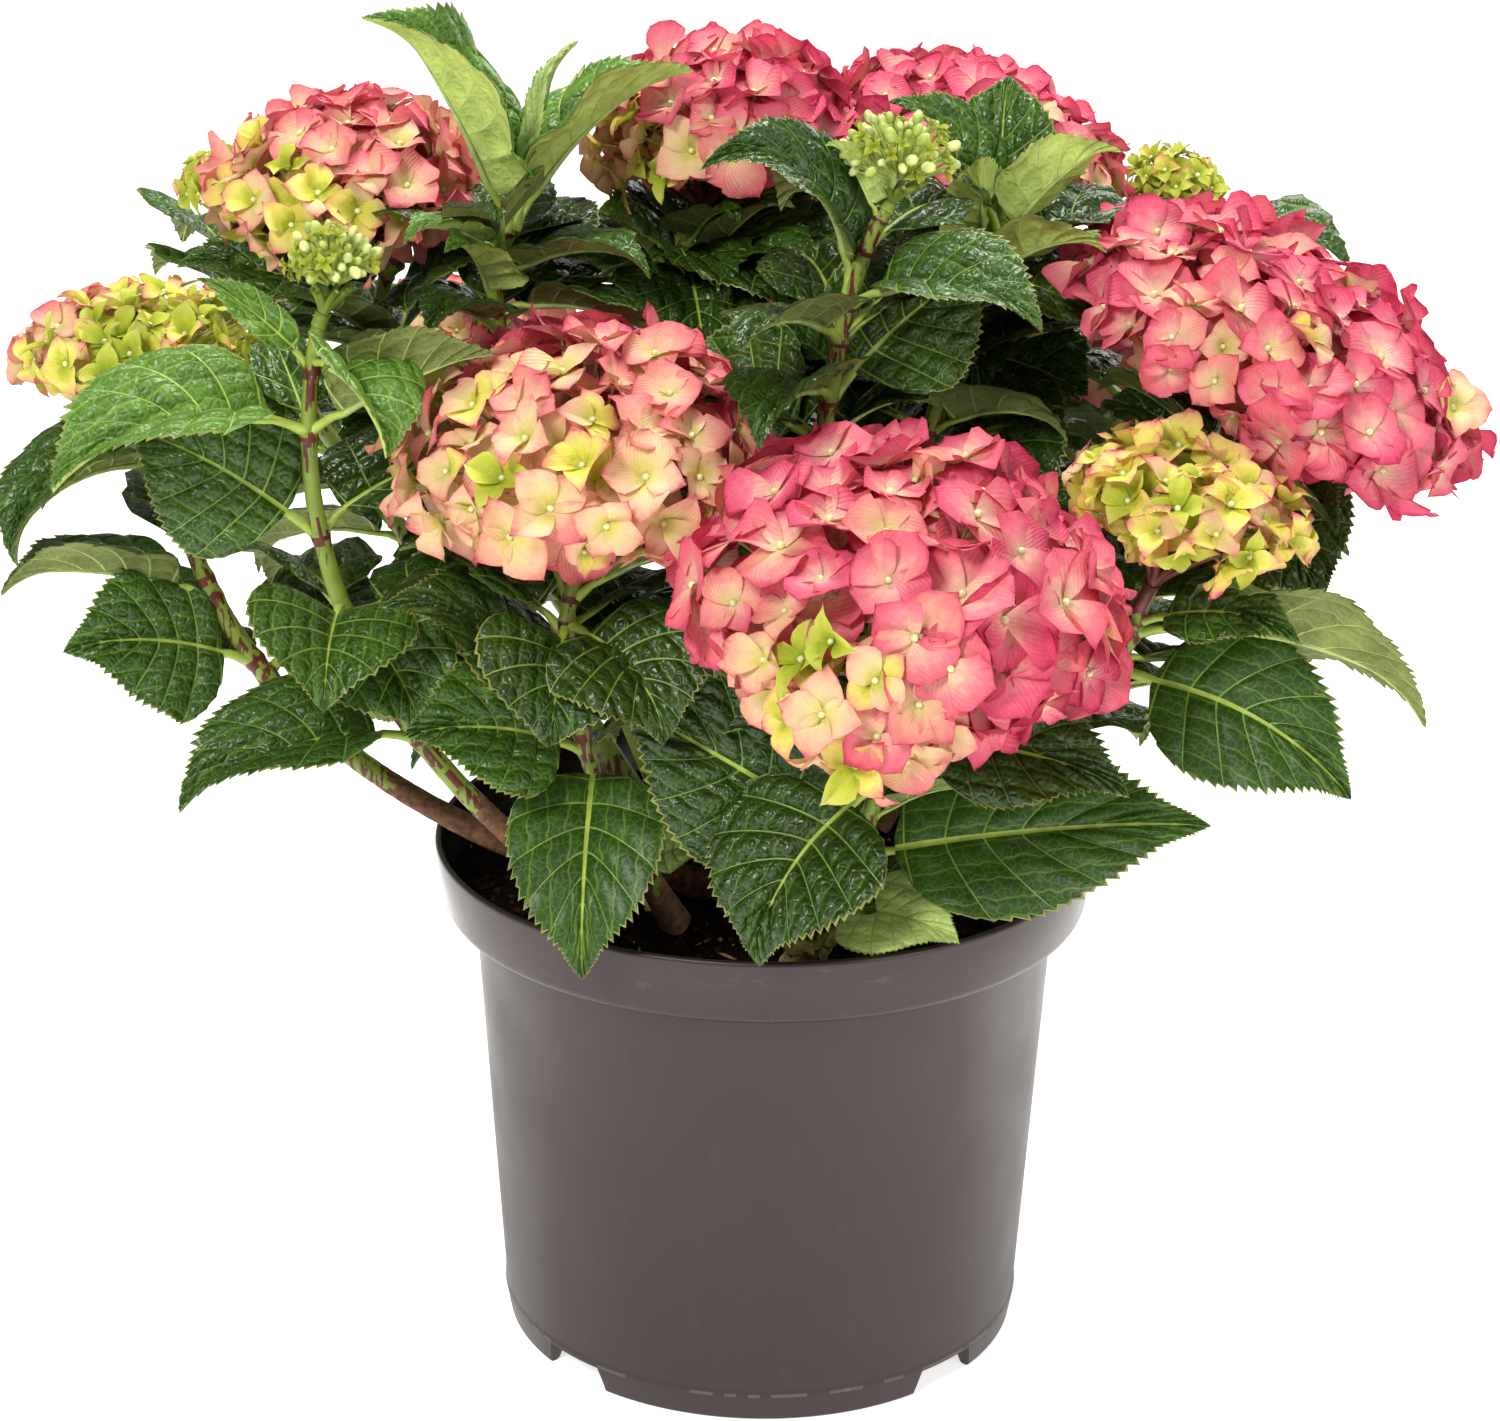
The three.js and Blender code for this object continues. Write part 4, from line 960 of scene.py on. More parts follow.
def temper_leaf(leaf):
    """Gives a leaf its own waves, droop, teeth and tone."""
    draw = leaf.rng.uniform
    ways = LEAF_WAYS.get(leaf.row, {})
    leaf.bare = ways.get("bare", BLADE_FROM)
    leaf.roll += ways.get("roll", 0) * RAD
    leaf.fold += ways.get("fold", 0) * RAD
    leaf.fullness = draw(0.97, 1.05) * ways.get("slim", 1.0)
    leaf.droop = draw(0.02, 0.2) * ways.get("droop", 1.0)
    leaf.wave = draw(0.6, 2.2) * leaf.length / GRAIN_LENGTH
    leaf.ripples = draw(1.2, 2.4)
    leaf.phase = draw(0.2, 0.8)
    leaf.sway = draw(-0.03, 0.03)
    leaf.tip_curl = draw(0.0, 1.3)
    leaf.quilt = ways.get("quilt", draw(0.66, 1.15))
    leaf.teeth = np.repeat(draw(0.45, 1.5, 50), 2) * ways.get("teeth", 1.0)
    leaf.dapple = draw(0.7, 1.3, (12, 12))
    if leaf.tone is None:
        leaf.tone = int(leaf.rng.choice([0, 1, 1, 2], p=[0.45, 0.25, 0.22, 0.08]))
    if leaf.length < SMALL_LEAF_MM:
        leaf.quilt *= 0.7


def add_blade(stock, leaf, look):
    """Upper and lower sheet of a leaf, with its petiole and the rib below the blade."""
    temper_leaf(leaf)
    grid = PLAIN
    if leaf.placed:
        grid = RICH if leaf.length > RICH_FROM_MM else MIDDLE
    rows = len(grid.start)
    for under, (points, cells) in enumerate(blade_sheets(leaf, grid, look)):
        count = points.shape[1]
        faces = strips(rows, count)
        middle = count // 2
        column = np.arange(count - 1)
        in_rib = (column == middle) | (column == middle - 1)
        rim = (column == 0) | (column == count - 2)
        vein_look = "vein_fresh" if leaf.tone >= 2 else "vein_old"
        below = "young_under" if leaf.tone >= 2 else "under"
        above = "smooth" if leaf.tone < 2 and leaf.quilt < 0.65 else LEAF_LOOKS[leaf.tone]
        body, vein = (below, "under_vein") if under else (above, vein_look)
        zones = np.where(grid.vein[:-1, None], LEAF_ZONE[vein], LEAF_ZONE[body])
        zones = np.where(in_rib[None, :], LEAF_ZONE["under_vein" if under else "midrib"], zones)
        if leaf.placed and not under:
            zones = np.where(rim[None, :], LEAF_ZONE["margin"], zones)
        end = leaf.at(np.array([0.98, 1.0]))[0]
        tip = points[-1, middle] + (end[1] - end[0]) * 0.9
        last = (rows - 1) * count
        tris = [[last + k, last + k + 1, rows * count] for k in range(count - 1)]
        tri_zones = zones[-1]
        if under:
            faces = faces[:, ::-1]
            tris = [t[::-1] for t in tris]
        stock.add(np.concatenate([points.reshape(-1, 3), [tip]]), faces, zones.ravel(), tris, tri_zones,
                  np.concatenate([cells.reshape(-1, 2), [cells[-1, middle]]]))
    add_rib(stock, leaf)


def add_rib(stock, leaf):
    """Petiole, thick and grooved at its foot, running on as the rib under the blade."""
    sides, steps = (8, 14) if leaf.placed else (5, 8)
    begin = leaf.petiole * leaf.bare
    s = np.linspace(0.0, begin + (1 - begin) * RIB_REACH, steps)
    point, across, top = leaf.at(s)
    q = np.clip((s - begin) / (1 - begin), 0, 1)
    grown = min(1.0, leaf.length / GRAIN_LENGTH)
    foot = 1 + 0.55 * np.exp(-s * leaf.length / 3.5)
    taper = 1 - 0.95 * q / RIB_REACH
    wide = np.where(s <= begin, PETIOLE_WIDE * foot, RIB_WIDE * taper) * grown
    deep = np.where(s <= begin, PETIOLE_DEEP * foot, RIB_DEEP * taper) * grown
    sway, curl = leaf.stray(q)
    drop = np.where(q > 0, deep * 0.8 + 0.4, 0.0)
    centre = point + across * sway[:, None] + top * (curl - drop)[:, None]
    angle = round_angles(sides)
    groove = 1 - 0.25 * np.clip(np.sin(angle), 0, 1) ** 3
    points = (centre[:, None] + across[:, None] * (wide[:, None] * np.cos(angle))[..., None]
              + top[:, None] * (deep[:, None] * (np.sin(angle) * groove))[..., None])
    faces = strips(steps, sides, closed=True)[:, ::-1]
    zones = np.repeat(np.where(s[:-1] < begin, LEAF_ZONE["midrib"], LEAF_ZONE["under_vein"]), sides)
    stock.add(points, faces, zones)


# ---- stems ----
STEM_SIDES = 16
STEM_RING_MM = 1.8
JOINT_MM = 2.6
JOINTS_APART = 0.03
SPECKLED_STEMS = ("mid", "low_right", "far_left", "top_right")
# Colour round a joint: look, and how far it runs up and down at most.
JOINT_BANDS = (("speckled", 7, 16), ("wine", 1.6, 4.5))
STREAKS = 0.004
STREAK_RUNS_ON = 0.8
BARK_HEIGHT = 18
BARK_HEIGHT_OLD = 45
OLD_SHOOTS = ("left", "far_left")
BARK_FADE = 14


def add_stem(stock, name, leaves, start, end, r0, r1, foot=False):
    """A length of stem with swollen, wine-red joints where its leaf pairs stand."""
    line = stem_line(name)
    length = np.linalg.norm(np.diff(on_stem(line, np.linspace(0, 1, 40)), axis=0), axis=1).sum()
    rings = max(6, int((end - start) * length / STEM_RING_MM))
    sides = STEM_SIDES
    t = np.linspace(start, end, rings)
    radius = r0 + (r1 - r0) * (t - start) / (end - start)
    joints = sorted({round(leaf.share, 2) for leaf in leaves})
    apart = [j for i, j in enumerate(joints) if i == 0 or j - joints[i - 1] > JOINTS_APART]
    rng = np.random.RandomState(len(name) + int(length))
    green = STEM_ZONE["speckled" if name in SPECKLED_STEMS else "green"]
    middle = ((t[1:] + t[:-1]) / 2 * length)[:, None]
    zones = np.full((rings - 1, sides), green)
    swell = np.zeros(rings)
    for joint in apart:
        swell = np.maximum(swell, np.exp(-((t - joint) * length / JOINT_MM) ** 2))
        at = joint * length
        for zone, up, down in JOINT_BANDS:
            above = rng.uniform(0, up, sides)
            below = rng.uniform(0.1 * down, down, sides)
            zones[(middle < at + above) & (middle > at - below)] = STEM_ZONE[zone]
    streaks = rng.random_sample((rings - 1, sides)) < STREAKS
    for _ in range(3):
        streaks[1:] |= streaks[:-1] & (rng.random_sample(streaks[1:].shape) < STREAK_RUNS_ON)
    zones[streaks] = STEM_ZONE["wine"]
    if foot:
        height = on_stem(line, t)[:-1, 2] - SOIL_TOP
        bark = BARK_HEIGHT_OLD if name in OLD_SHOOTS else BARK_HEIGHT
        edge = bark + rng.uniform(-3, 3, sides)
        zones[height[:, None] < edge + BARK_FADE] = STEM_ZONE["speckled"]
        zones[height[:, None] < edge] = STEM_ZONE["bark"]
        radius = radius * (1 + 0.25 * np.exp(-(t - start) * length / 8))
    radius = radius * (1 + 0.2 * swell)
    relief = 1 + 0.05 * np.sin(np.arange(sides) * np.pi / 3) + rng.uniform(-0.02, 0.02, (rings, sides))
    add_tube(stock, on_stem(line, t), radius, sides, zones, relief)


# ---- flower heads ----
def spread(count, seed):
    """Directions over a dome, evenly by the golden angle, with a spin and a height for each."""
    draw = seeded(seed)
    turn = 360 * draw()
    out = []
    for i in range(count):
        z = 1 - (1 - HEAD_FLOOR) * (i + 0.5) / count
        a = (turn + i * GOLDEN_ANGLE + 8 * (draw() - 0.5)) * RAD
        flat = math.sqrt(1 - z * z)
        out.append((flat * math.cos(a), flat * math.sin(a), z, 90 * draw(), draw()))
    return np.array(out)


def head_turn(lean, toward):
    """Rotation that leans a head."""
    axis = Vector((-math.sin(toward * RAD), math.cos(toward * RAD), 0))
    return np.array(Matrix.Rotation(lean * RAD, 3, axis))


SEPAL_ALONG = np.array([0.0, 0.12, 0.27, 0.43, 0.6, 0.76, 0.9, 1.0])
SEPAL_WIDE = np.array([0.2, 0.54, 0.83, 0.99, 0.98, 0.78, 0.44, 0.05])
SEPAL_POINTED = np.array([0.3, 0.6, 0.86, 1.0, 0.86, 0.55, 0.24, 0.01])
SEPAL_ACROSS = np.array([-1, -0.78, -0.42, 0, 0.42, 0.78, 1])


def add_florets(stock, centres, normals, spins, sizes, stages, rng, sepal_width, beads=True):
    """Four-sepalled florets with a bead in the eye: narrow cups when green, broad and wavy when ripe."""
    n = len(centres)
    a = SEPAL_ALONG[None, None, :, None]
    b = SEPAL_ACROSS[None, None, None, :]
    rows, columns = len(SEPAL_ALONG), len(SEPAL_ACROSS)
    ripe = np.clip(0.14 + 0.2 * stages + rng.uniform(-0.1, 0.1, n), 0.08, 1)[:, None, None, None]
    full = ripe ** 2
    wide = SEPAL_WIDE[None, None, :, None] * full + SEPAL_POINTED[None, None, :, None] * (1 - full)

    def vary(low, high, each=4):
        return rng.uniform(low, high, (n, each, 1, 1))

    length = sizes[:, None, None, None] * vary(0.86, 1.12)
    half = length * sepal_width * vary(0.9, 1.12) * (0.42 + 0.65 * ripe)
    zigzag = np.where(np.arange(rows) % 2, 1, -1)[:, None]
    jag = rng.uniform(-0.03, 0.03, (n, 4, rows, 1)) + 0.04 * ripe * zigzag
    y = half * wide * b * np.where(np.abs(b) > 0.99, 1 + jag * (a > 0.2), 1)
    # a sepal leaves the eye at an angle and curls back towards its tip
    rise = np.maximum(vary(15, 44) * (1.5 - 1.05 * ripe) + vary(-6, 16, 1), 4) * RAD
    curl = vary(0.4, 2.0)
    slope = rise * (1 - curl * a)
    x = length * (np.sin(rise) - np.sin(slope)) / (rise * curl) * (1 - 0.05 * b ** 2)
    z = length * (np.cos(slope) - np.cos(rise)) / (rise * curl)
    z = z + half * wide * (vary(-0.1, 0.7) * (1.15 - 0.6 * ripe) * np.abs(b) + vary(-0.1, 0.4) * b ** 2)
    z = z + half * vary(-0.4, 0.4) * b * wide * a
    ripple = np.where(b < 0, vary(0, 1), vary(0, 1))
    z = z + length * vary(0.02, 0.09) * b ** 2 * np.sin(2 * np.pi * (vary(0.7, 1.6) * a + ripple))
    z = z + np.array([0.0, 0.7, 0.0, 0.7])[None, :, None, None]
    turn = (spins[:, None] + np.arange(4)[None, :] * 90) * RAD + rng.uniform(-0.15, 0.15, (n, 4))
    out = turned(*two_across(normals), turn)
    aside = np.cross(normals[:, None], out)
    points = (centres[:, None, None, None] + out[:, :, None, None] * x[..., None]
              + aside[:, :, None, None] * y[..., None] + normals[:, None, None, None] * z[..., None])
    faces = (strips(rows, columns)[None] + (np.arange(n * 4) * rows * columns)[:, None, None]).reshape(-1, 4)
    tint = np.clip(np.rint(stages[:, None] + rng.normal(0, 0.25, (n, 4))), 0, len(TINTS) - 1).astype(int)
    edge = (0.3 + 0.55 * ripe) * np.abs(b) ** 4 * np.clip(a / 0.35, 0, 1)
    rim = 1 - (1 - a ** 1.25) * (1 - edge) + vary(-0.1, 0.08)
    fan = b * (0.35 + 0.65 * wide) + 0 * rim + 4 * np.arange(4)[None, :, None, None]
    stock.add(points, faces, np.repeat(tint.ravel(), (rows - 1) * (columns - 1)),
              skin_map=np.stack([rim + 0 * fan, fan], -1).reshape(-1, 2))
    if beads:
        add_beads(stock, centres + normals * (0.9 + 0.04 * sizes[:, None]), normals, 0.55 + 0.045 * sizes,
                  BEAD_ZONE)


STALK_R = 0.55
HEAD_BRANCHES = 9
BALL_SIDES = 7
BALL_LIFTS = np.array([-0.9, -0.35, 0.3, 0.8])


def add_beads(stock, centres, normals, radii, zone, long=1.0):
    """Small round beads or long buds, standing along their normals."""
    n = len(centres)
    ring = turned(*two_across(normals), round_angles(BALL_SIDES))
    flat = np.sqrt(1 - BALL_LIFTS ** 2)[None, :, None, None]
    lift = BALL_LIFTS[None, :, None, None]
    size = radii[:, None, None, None]
    points = (centres[:, None, None] + ring[:, None] * (flat * size)
              + normals[:, None, None] * (lift * size * long))
    reach = normals * radii[:, None] * long
    points = np.concatenate([points.reshape(n, -1, 3), np.stack([centres - reach, centres + reach], 1)], 1)
    faces = strips(len(BALL_LIFTS), BALL_SIDES, closed=True)
    tris = end_caps(len(BALL_LIFTS), BALL_SIDES)[:, TURN_OVER]
    shift = (np.arange(n) * points.shape[1])[:, None, None]
    zones = np.broadcast_to(np.asarray(zone), (n,))
    stock.add(points, (faces[None] + shift).reshape(-1, 4), np.repeat(zones, len(faces)),
              (tris[None] + shift).reshape(-1, 3), np.repeat(zones, len(tris)))


def add_stalks(stock, starts, ends, radius, zone):
    """Straight four-sided stalks from starts to ends."""
    ring = turned(*two_across(unit(ends - starts)), round_angles(4))
    points = np.stack([starts[:, None] + ring * radius * 1.25, ends[:, None] + ring * radius], 1)
    shift = (np.arange(len(starts)) * 8)[:, None, None]
    stock.add(points, (strips(2, 4, closed=True)[None] + shift).reshape(-1, 4), zone)


LATE_SHARE = 0.07
LATE_ABOVE = 0.4


def head_stages(d, name, rng):
    """Ripeness of the florets in directions d: one side of a head stays younger than the rest."""
    ripe, young, (side, height), part = BLOOMS[name][2:]
    aim = np.array([math.cos(side * RAD), math.sin(side * RAD), height])
    facing = d @ (aim / np.linalg.norm(aim)) + rng.uniform(-0.2, 0.2, len(d))
    share = np.clip((facing - np.quantile(facing, 1 - part)) / 0.4 + 0.5, 0, 1)
    stage = ripe + (young - ripe) * share + rng.normal(0, 0.45, len(d))
    late = (rng.random_sample(len(d)) < LATE_SHARE) & (d[:, 2] > LATE_ABOVE)
    return np.clip(np.where(late, stage - rng.uniform(1.2, 2.6, len(d)), stage), 0, 5)


def add_head(stock, stalks, name, look):
    """One mophead: florets over a leaning dome, on stalks that branch from the stem's tip."""
    at, r, top, low, lean, toward, count, seed = HEADS[name]
    fill, size = BLOOMS[name][:2]
    turn = head_turn(lean, toward)
    centre = np.array(at, float)
    rng = np.random.RandomState(seed)
    hub = centre + turn @ np.array([0, 0, -0.55 * low])
    shape = HEAD_SHAPES.get(name, (1.0, 1.0, 1.0))
    for layer, many, reach in FLORET_LAYERS:
        rays = spread(int(count * fill * look.fill * many), seed + 100 * layer)
        d, spins, tall = rays[:, :3], rays[:, 3], rays[:, 4]
        depth = np.where(d[:, 2] > 0, top * shape[1], low * shape[2])[:, None]
        stretch = np.concatenate([np.full((len(d), 2), r * shape[0]), depth], 1)
        reach = reach * (0.83 + 0.13 * tall)
        facing = np.degrees(np.arctan2(d[:, 1], d[:, 0]))
        for bay, half, share in HEAD_BAYS.get(name, ()):
            drawn_in = share * np.exp(-((facing - bay) / half) ** 2)
            reach = reach * (1 - drawn_in * np.clip(1.3 - 1.6 * d[:, 2], 0, 1))
        centres = centre + (d * stretch * reach[:, None]) @ turn.T
        normals = unit(unit(d / stretch) + rng.uniform(-0.5, 0.5, d.shape)) @ turn.T
        normals = unit(normals + np.array([0, 0, 0.1]))
        stages = head_stages(d, name, rng)
        sizes = size * rng.uniform(0.74, 1.16, len(d)) * (0.8 + 0.05 * stages) * (1.15 if layer else 1)
        add_florets(stock, centres, normals, spins, sizes, stages, rng, look.sepal_width, layer == 0)
        add_stalks(stock, hub + (centres - hub) * 0.45, centres, STALK_R, STALK_ZONE)
    add_peduncle(stalks, name, hub, turn, r, rng)


def add_peduncle(stalks, name, hub, turn, r, rng):
    """Main flower stalk from the stem's tip, and the branches that carry the florets."""
    tip = on_stem(stem_line(name), 1.0)
    zone = STEM_ZONE["green" if name in GREEN_HEADS or name in BUD_CLUSTERS else "stalk"]
    fork = tip + (hub - tip) * 0.35
    add_tube(stalks, np.linspace(tip, fork, 4), [2.6, 2.5, 2.5, 2.6], 8, zone)
    for k in range(HEAD_BRANCHES):
        a = 2 * np.pi * (k + rng.uniform(-0.2, 0.2)) / HEAD_BRANCHES
        out = turn @ np.array([0.5 * r * math.cos(a), 0.5 * r * math.sin(a), 0.0])
        end = hub + out
        mid = fork + (end - fork) * 0.5 + (hub - fork) * 0.12 - out * 0.08
        t = np.linspace(0, 1, 6)[:, None]
        path = fork * (1 - t) ** 2 + 2 * mid * t * (1 - t) + end * t ** 2
        add_tube(stalks, path, np.linspace(1.7, 0.9, 6), 6, zone)


BUDS_EACH = 7
OPEN_SHARE = 0.42


def add_bud_cluster(stock, stalks, name):
    """A young head: crowded green buds and half-open small florets on short stalks."""
    at, r, top, low, lean, toward, count, seed = HEADS[name]
    centre = np.array(at, float)
    rng = np.random.RandomState(seed)
    hub = centre - np.array([0, 0, low * 0.8])
    rays = spread(count * BUDS_EACH, seed)
    d = rays[:, :3]
    stretch = np.array([r, r, top])
    centres = centre + d * stretch * rng.uniform(0.72, 1.06, (len(d), 1))
    normals = unit(unit(d / stretch) + rng.uniform(-0.25, 0.25, d.shape))
    open_ones = rng.random_sample(len(d)) < OPEN_SHARE
    add_florets(stock, centres[open_ones], normals[open_ones], rays[open_ones, 3],
                rng.uniform(3.4, 5.2, open_ones.sum()), np.zeros(open_ones.sum()), rng, 0.45, beads=False)
    shut = ~open_ones
    add_beads(stock, centres[shut], normals[shut], rng.uniform(1.2, 2.1, shut.sum()),
              rng.choice([PALE_BUD, GREEN_BUD], shut.sum(), p=[0.65, 0.35]), 1.5)
    add_stalks(stock, hub + (centres - hub) * 0.25, centres, STALK_R, GREEN_BUD)
    add_peduncle(stalks, name, hub, head_turn(lean, toward), r, rng)


# ---- pot, soil and old wood ----
def add_lathe(stock, profile, around, zones):
    """Turns a closed profile of radius and height about the pot's axis; points on the axis close it."""
    angle = round_angles(around)
    rings = profile[profile[:, 0] > 0]
    points = np.stack([rings[:, 0:1] * np.cos(angle), rings[:, 0:1] * np.sin(angle),
                       np.repeat(rings[:, 1:2], around, 1)], -1)
    ends = np.array([[0, 0, profile[0][1]], [0, 0, profile[-1][1]]])
    stock.add(np.concatenate([points.reshape(-1, 3), ends]), strips(len(rings), around, closed=True), zones,
              end_caps(len(rings), around)[:, TURN_OVER])


def rounded(corners, fillet=0.8):
    """Cuts each corner of a profile with two close points, so that edges catch a line of light."""
    out = [corners[0]]
    for before, here, after in zip(corners, corners[1:], corners[2:]):
        before, here, after = (np.array(p, float) for p in (before, here, after))
        for other in (before, after):
            gap = np.linalg.norm(other - here)
            out.append(tuple(here + (other - here) * min(fillet, gap * 0.3) / gap))
    out.append(corners[-1])
    return out


def cutter(points, faces):
    """A closed tool that is cut out of the pot."""
    mesh = bpy.data.meshes.new("cutter")
    mesh.from_pydata([Vector(p) * MM for p in points], [], faces)
    return bpy.data.objects.new("cutter", mesh)


def pot_cutters():
    """Four slanted notches in the foot ring, and the drain holes."""
    block = [(0, 2, 1), (0, 3, 2), (4, 5, 6), (4, 6, 7), (0, 1, 5), (0, 5, 4), (1, 2, 6), (1, 6, 5),
             (2, 3, 7), (2, 7, 6), (3, 0, 4), (3, 4, 7)]
    made = []
    for k in range(4):
        points = []
        for z, wide in ((-2.0, NOTCH_WIDE), (SEAM_Z - 1.6, NOTCH_NARROW)):
            for r, s in ((NOTCH_FROM, -1), (NOTCH_TO, -1), (NOTCH_TO, 1), (NOTCH_FROM, 1)):
                a = (45 + 90 * k + s * wide / 2) * RAD
                points.append((r * math.cos(a), r * math.sin(a), z))
        made.append(cutter(points, block))
    n = DRAIN_SIDES
    for k in range(DRAIN_HOLES):
        a = (60 * k + 15) * RAD
        x, y = DRAIN_RING_R * math.cos(a), DRAIN_RING_R * math.sin(a)
        ring = [(x + DRAIN_R * math.cos(j * math.pi / 12), y + DRAIN_R * math.sin(j * math.pi / 12))
                for j in range(n)]
        points = [(px, py, z) for z in (FLOOR_Z - 5, FLOOR_Z + 7) for px, py in ring]
        sides = [(j, (j + 1) % n, n + (j + 1) % n, n + j) for j in range(n)]
        made.append(cutter(points, [*sides, tuple(range(n - 1, -1, -1)), tuple(range(n, 2 * n))]))
    return made


def pot_profile():
    """Outer and inner line of the pot, from the middle of its base round the rim and back."""
    lip_low = RIM_Z - LIP_DEEP
    wall_top = RIM_R - WALL_TOP_IN
    wall_low = RIM_R - WALL_LOW_IN
    foot = RIM_R - FOOT_IN
    lip = RIM_R - LIP_IN
    return rounded([
        (0, 0), (PAD_R, 0), (PAD_R + 5, FLOOR_Z), (foot - 6, FLOOR_Z), (foot - 3.2, 0), (foot, 0),
        (wall_low + 0.5, SEAM_Z - 0.6), (wall_low, SEAM_Z + 0.9),
        (wall_low + (wall_top - wall_low) * 0.5, (SEAM_Z + lip_low) / 2),
        (wall_top, lip_low - 1.4), (wall_top + 2, lip_low - 0.4), (lip - 1.6, lip_low + 1),
        (lip, lip_low + 3.4), (RIM_R, RIM_Z - 1.1), (RIM_R - 0.8, RIM_Z), (RIM_R - 1.9, RIM_Z),
        (RIM_R - 2.5, RIM_Z - 1.2), (lip - 1.9, lip_low + 4.2), (wall_top - WALL, lip_low + 1.6),
        (wall_low - WALL, FLOOR_Z + 2.2), (PAD_R + 3, FLOOR_Z + 2.2), (PAD_R - 2, 2.2), (0, 2.2)])


def add_pot_wall(stock, around):
    """The turned pot: satin wall, glossy lip, dark rim edge, and pale broken dashes along the seam that are a
    painted highlight.
    """
    profile = np.array(pot_profile())
    rings = profile[profile[:, 0] > 0]
    middle = (rings[1:] + rings[:-1]) / 2
    outside = middle[:, 0] > RIM_R - FOOT_IN - 1
    zones = np.full((len(middle), around), WALL_LOOK)
    zones[outside & (middle[:, 1] > RIM_Z - LIP_DEEP + 1)] = LIP_LOOK
    zones[middle[:, 1] > RIM_Z - 0.7] = EDGE_LOOK
    rng = np.random.RandomState(3)
    # pale broken dashes along the seam: a painted highlight
    lit_dashes = np.repeat(rng.random_sample(around // 3) < 0.7, 3)[:around] & (rng.random_sample(around) < 0.8)
    seam = np.abs(middle[:, 1] - (SEAM_Z - 0.6)) < 0.3
    zones[np.ix_(seam & outside, lit_dashes)] = SEAM_HIGHLIGHT_LOOK
    add_lathe(stock, profile, around, zones.ravel())


def soil_height(x, y):
    """Lumpy height of the peat, a little mounded round the shoots."""
    lump = noise.fractal(Vector((x / LUMP_MM, y / LUMP_MM, 1.7)), 0.9, 2.1, 4) * 1.9
    mound = noise.noise(Vector((x / MOUND_MM, y / MOUND_MM, 5.0))) * 1.6
    return SOIL_TOP - 0.9 + lump + mound


CRUMB_POINTS = np.array([(0, 0, 1), (0.9, 0, 0.2), (0.25, 0.85, 0.1), (-0.75, 0.5, -0.1), (-0.7, -0.6, 0.2),
                         (0.3, -0.9, -0.1), (0, 0, -0.8)])
CRUMB_FACES = np.array([(0, 1, 2), (0, 2, 3), (0, 3, 4), (0, 4, 5), (0, 5, 1), (6, 2, 1), (6, 3, 2),
                        (6, 4, 3), (6, 5, 4), (6, 1, 5)])


def add_crumbs(stock, rng, count, reach, size, stretch, zones):
    """Loose bits of peat, bark, fibre and grit lying in the soil."""
    for _ in range(count):
        r = reach * math.sqrt(rng.random_sample())
        a = rng.uniform(0, 2 * math.pi)
        x, y = r * math.cos(a), r * math.sin(a)
        grow = rng.uniform(*size)
        shape = CRUMB_POINTS * rng.uniform(0.7, 1.3, CRUMB_POINTS.shape) * np.array(stretch) * grow
        spin = np.array(Matrix.Rotation(rng.uniform(0, 2 * math.pi), 3, "Z")
                        @ Matrix.Rotation(rng.uniform(-0.5, 0.5), 3, "X"))
        lift = soil_height(x, y) + grow * 0.25
        stock.add(shape @ spin.T + (x, y, lift), threes=CRUMB_FACES, zones3=zones[rng.randint(len(zones))])


# ---- operators ----
class HYDRANGEA_OT_pot(bpy.types.Operator):
    """Moulds the nursery pot, with its lip, seam, foot segments and drain holes"""
    bl_idname = "hydrangea.pot"
    bl_label = "Pot"

    def execute(self, context):
        look = context.scene.hydrangea_pot
        stock = Stock()
        add_pot_wall(stock, look.around)
        looks = [pot_plastic("satin_polypropylene_wall", look.colour, 0.4, 0.035, (1, 1, 0.3)),
                 pot_plastic("glossy_polypropylene_lip", look.colour, 0.27, 0.14, (0.6, 0.6, 1.6)),
                 # the seam material is a painted highlight, pale dashes along the seam
                 pot_plastic("seam_painted_highlight", linear("#544a48"), 0.5, 0.3, (1, 1, 1)),
                 pot_plastic("rim_edge", tuple(0.45 * c for c in look.colour), 0.4, 0.2, (1, 1, 1))]
        pot = stock.piece("pot_shell", looks, "pot_plastic", ["pot"])
        for tool in pot_cutters():
            context.scene.collection.objects.link(tool)
            cut = pot.modifiers.new("cut", "BOOLEAN")
            cut.object = tool
            cut.solver = "EXACT"
            graph = context.evaluated_depsgraph_get()
            mesh = bpy.data.meshes.new_from_object(pot.evaluated_get(graph))
            pot.modifiers.clear()
            pot.data = mesh
            bpy.data.objects.remove(tool)
        pot.data.set_sharp_from_angle(angle=SHARP_ANGLE * RAD)
        return {"FINISHED"}


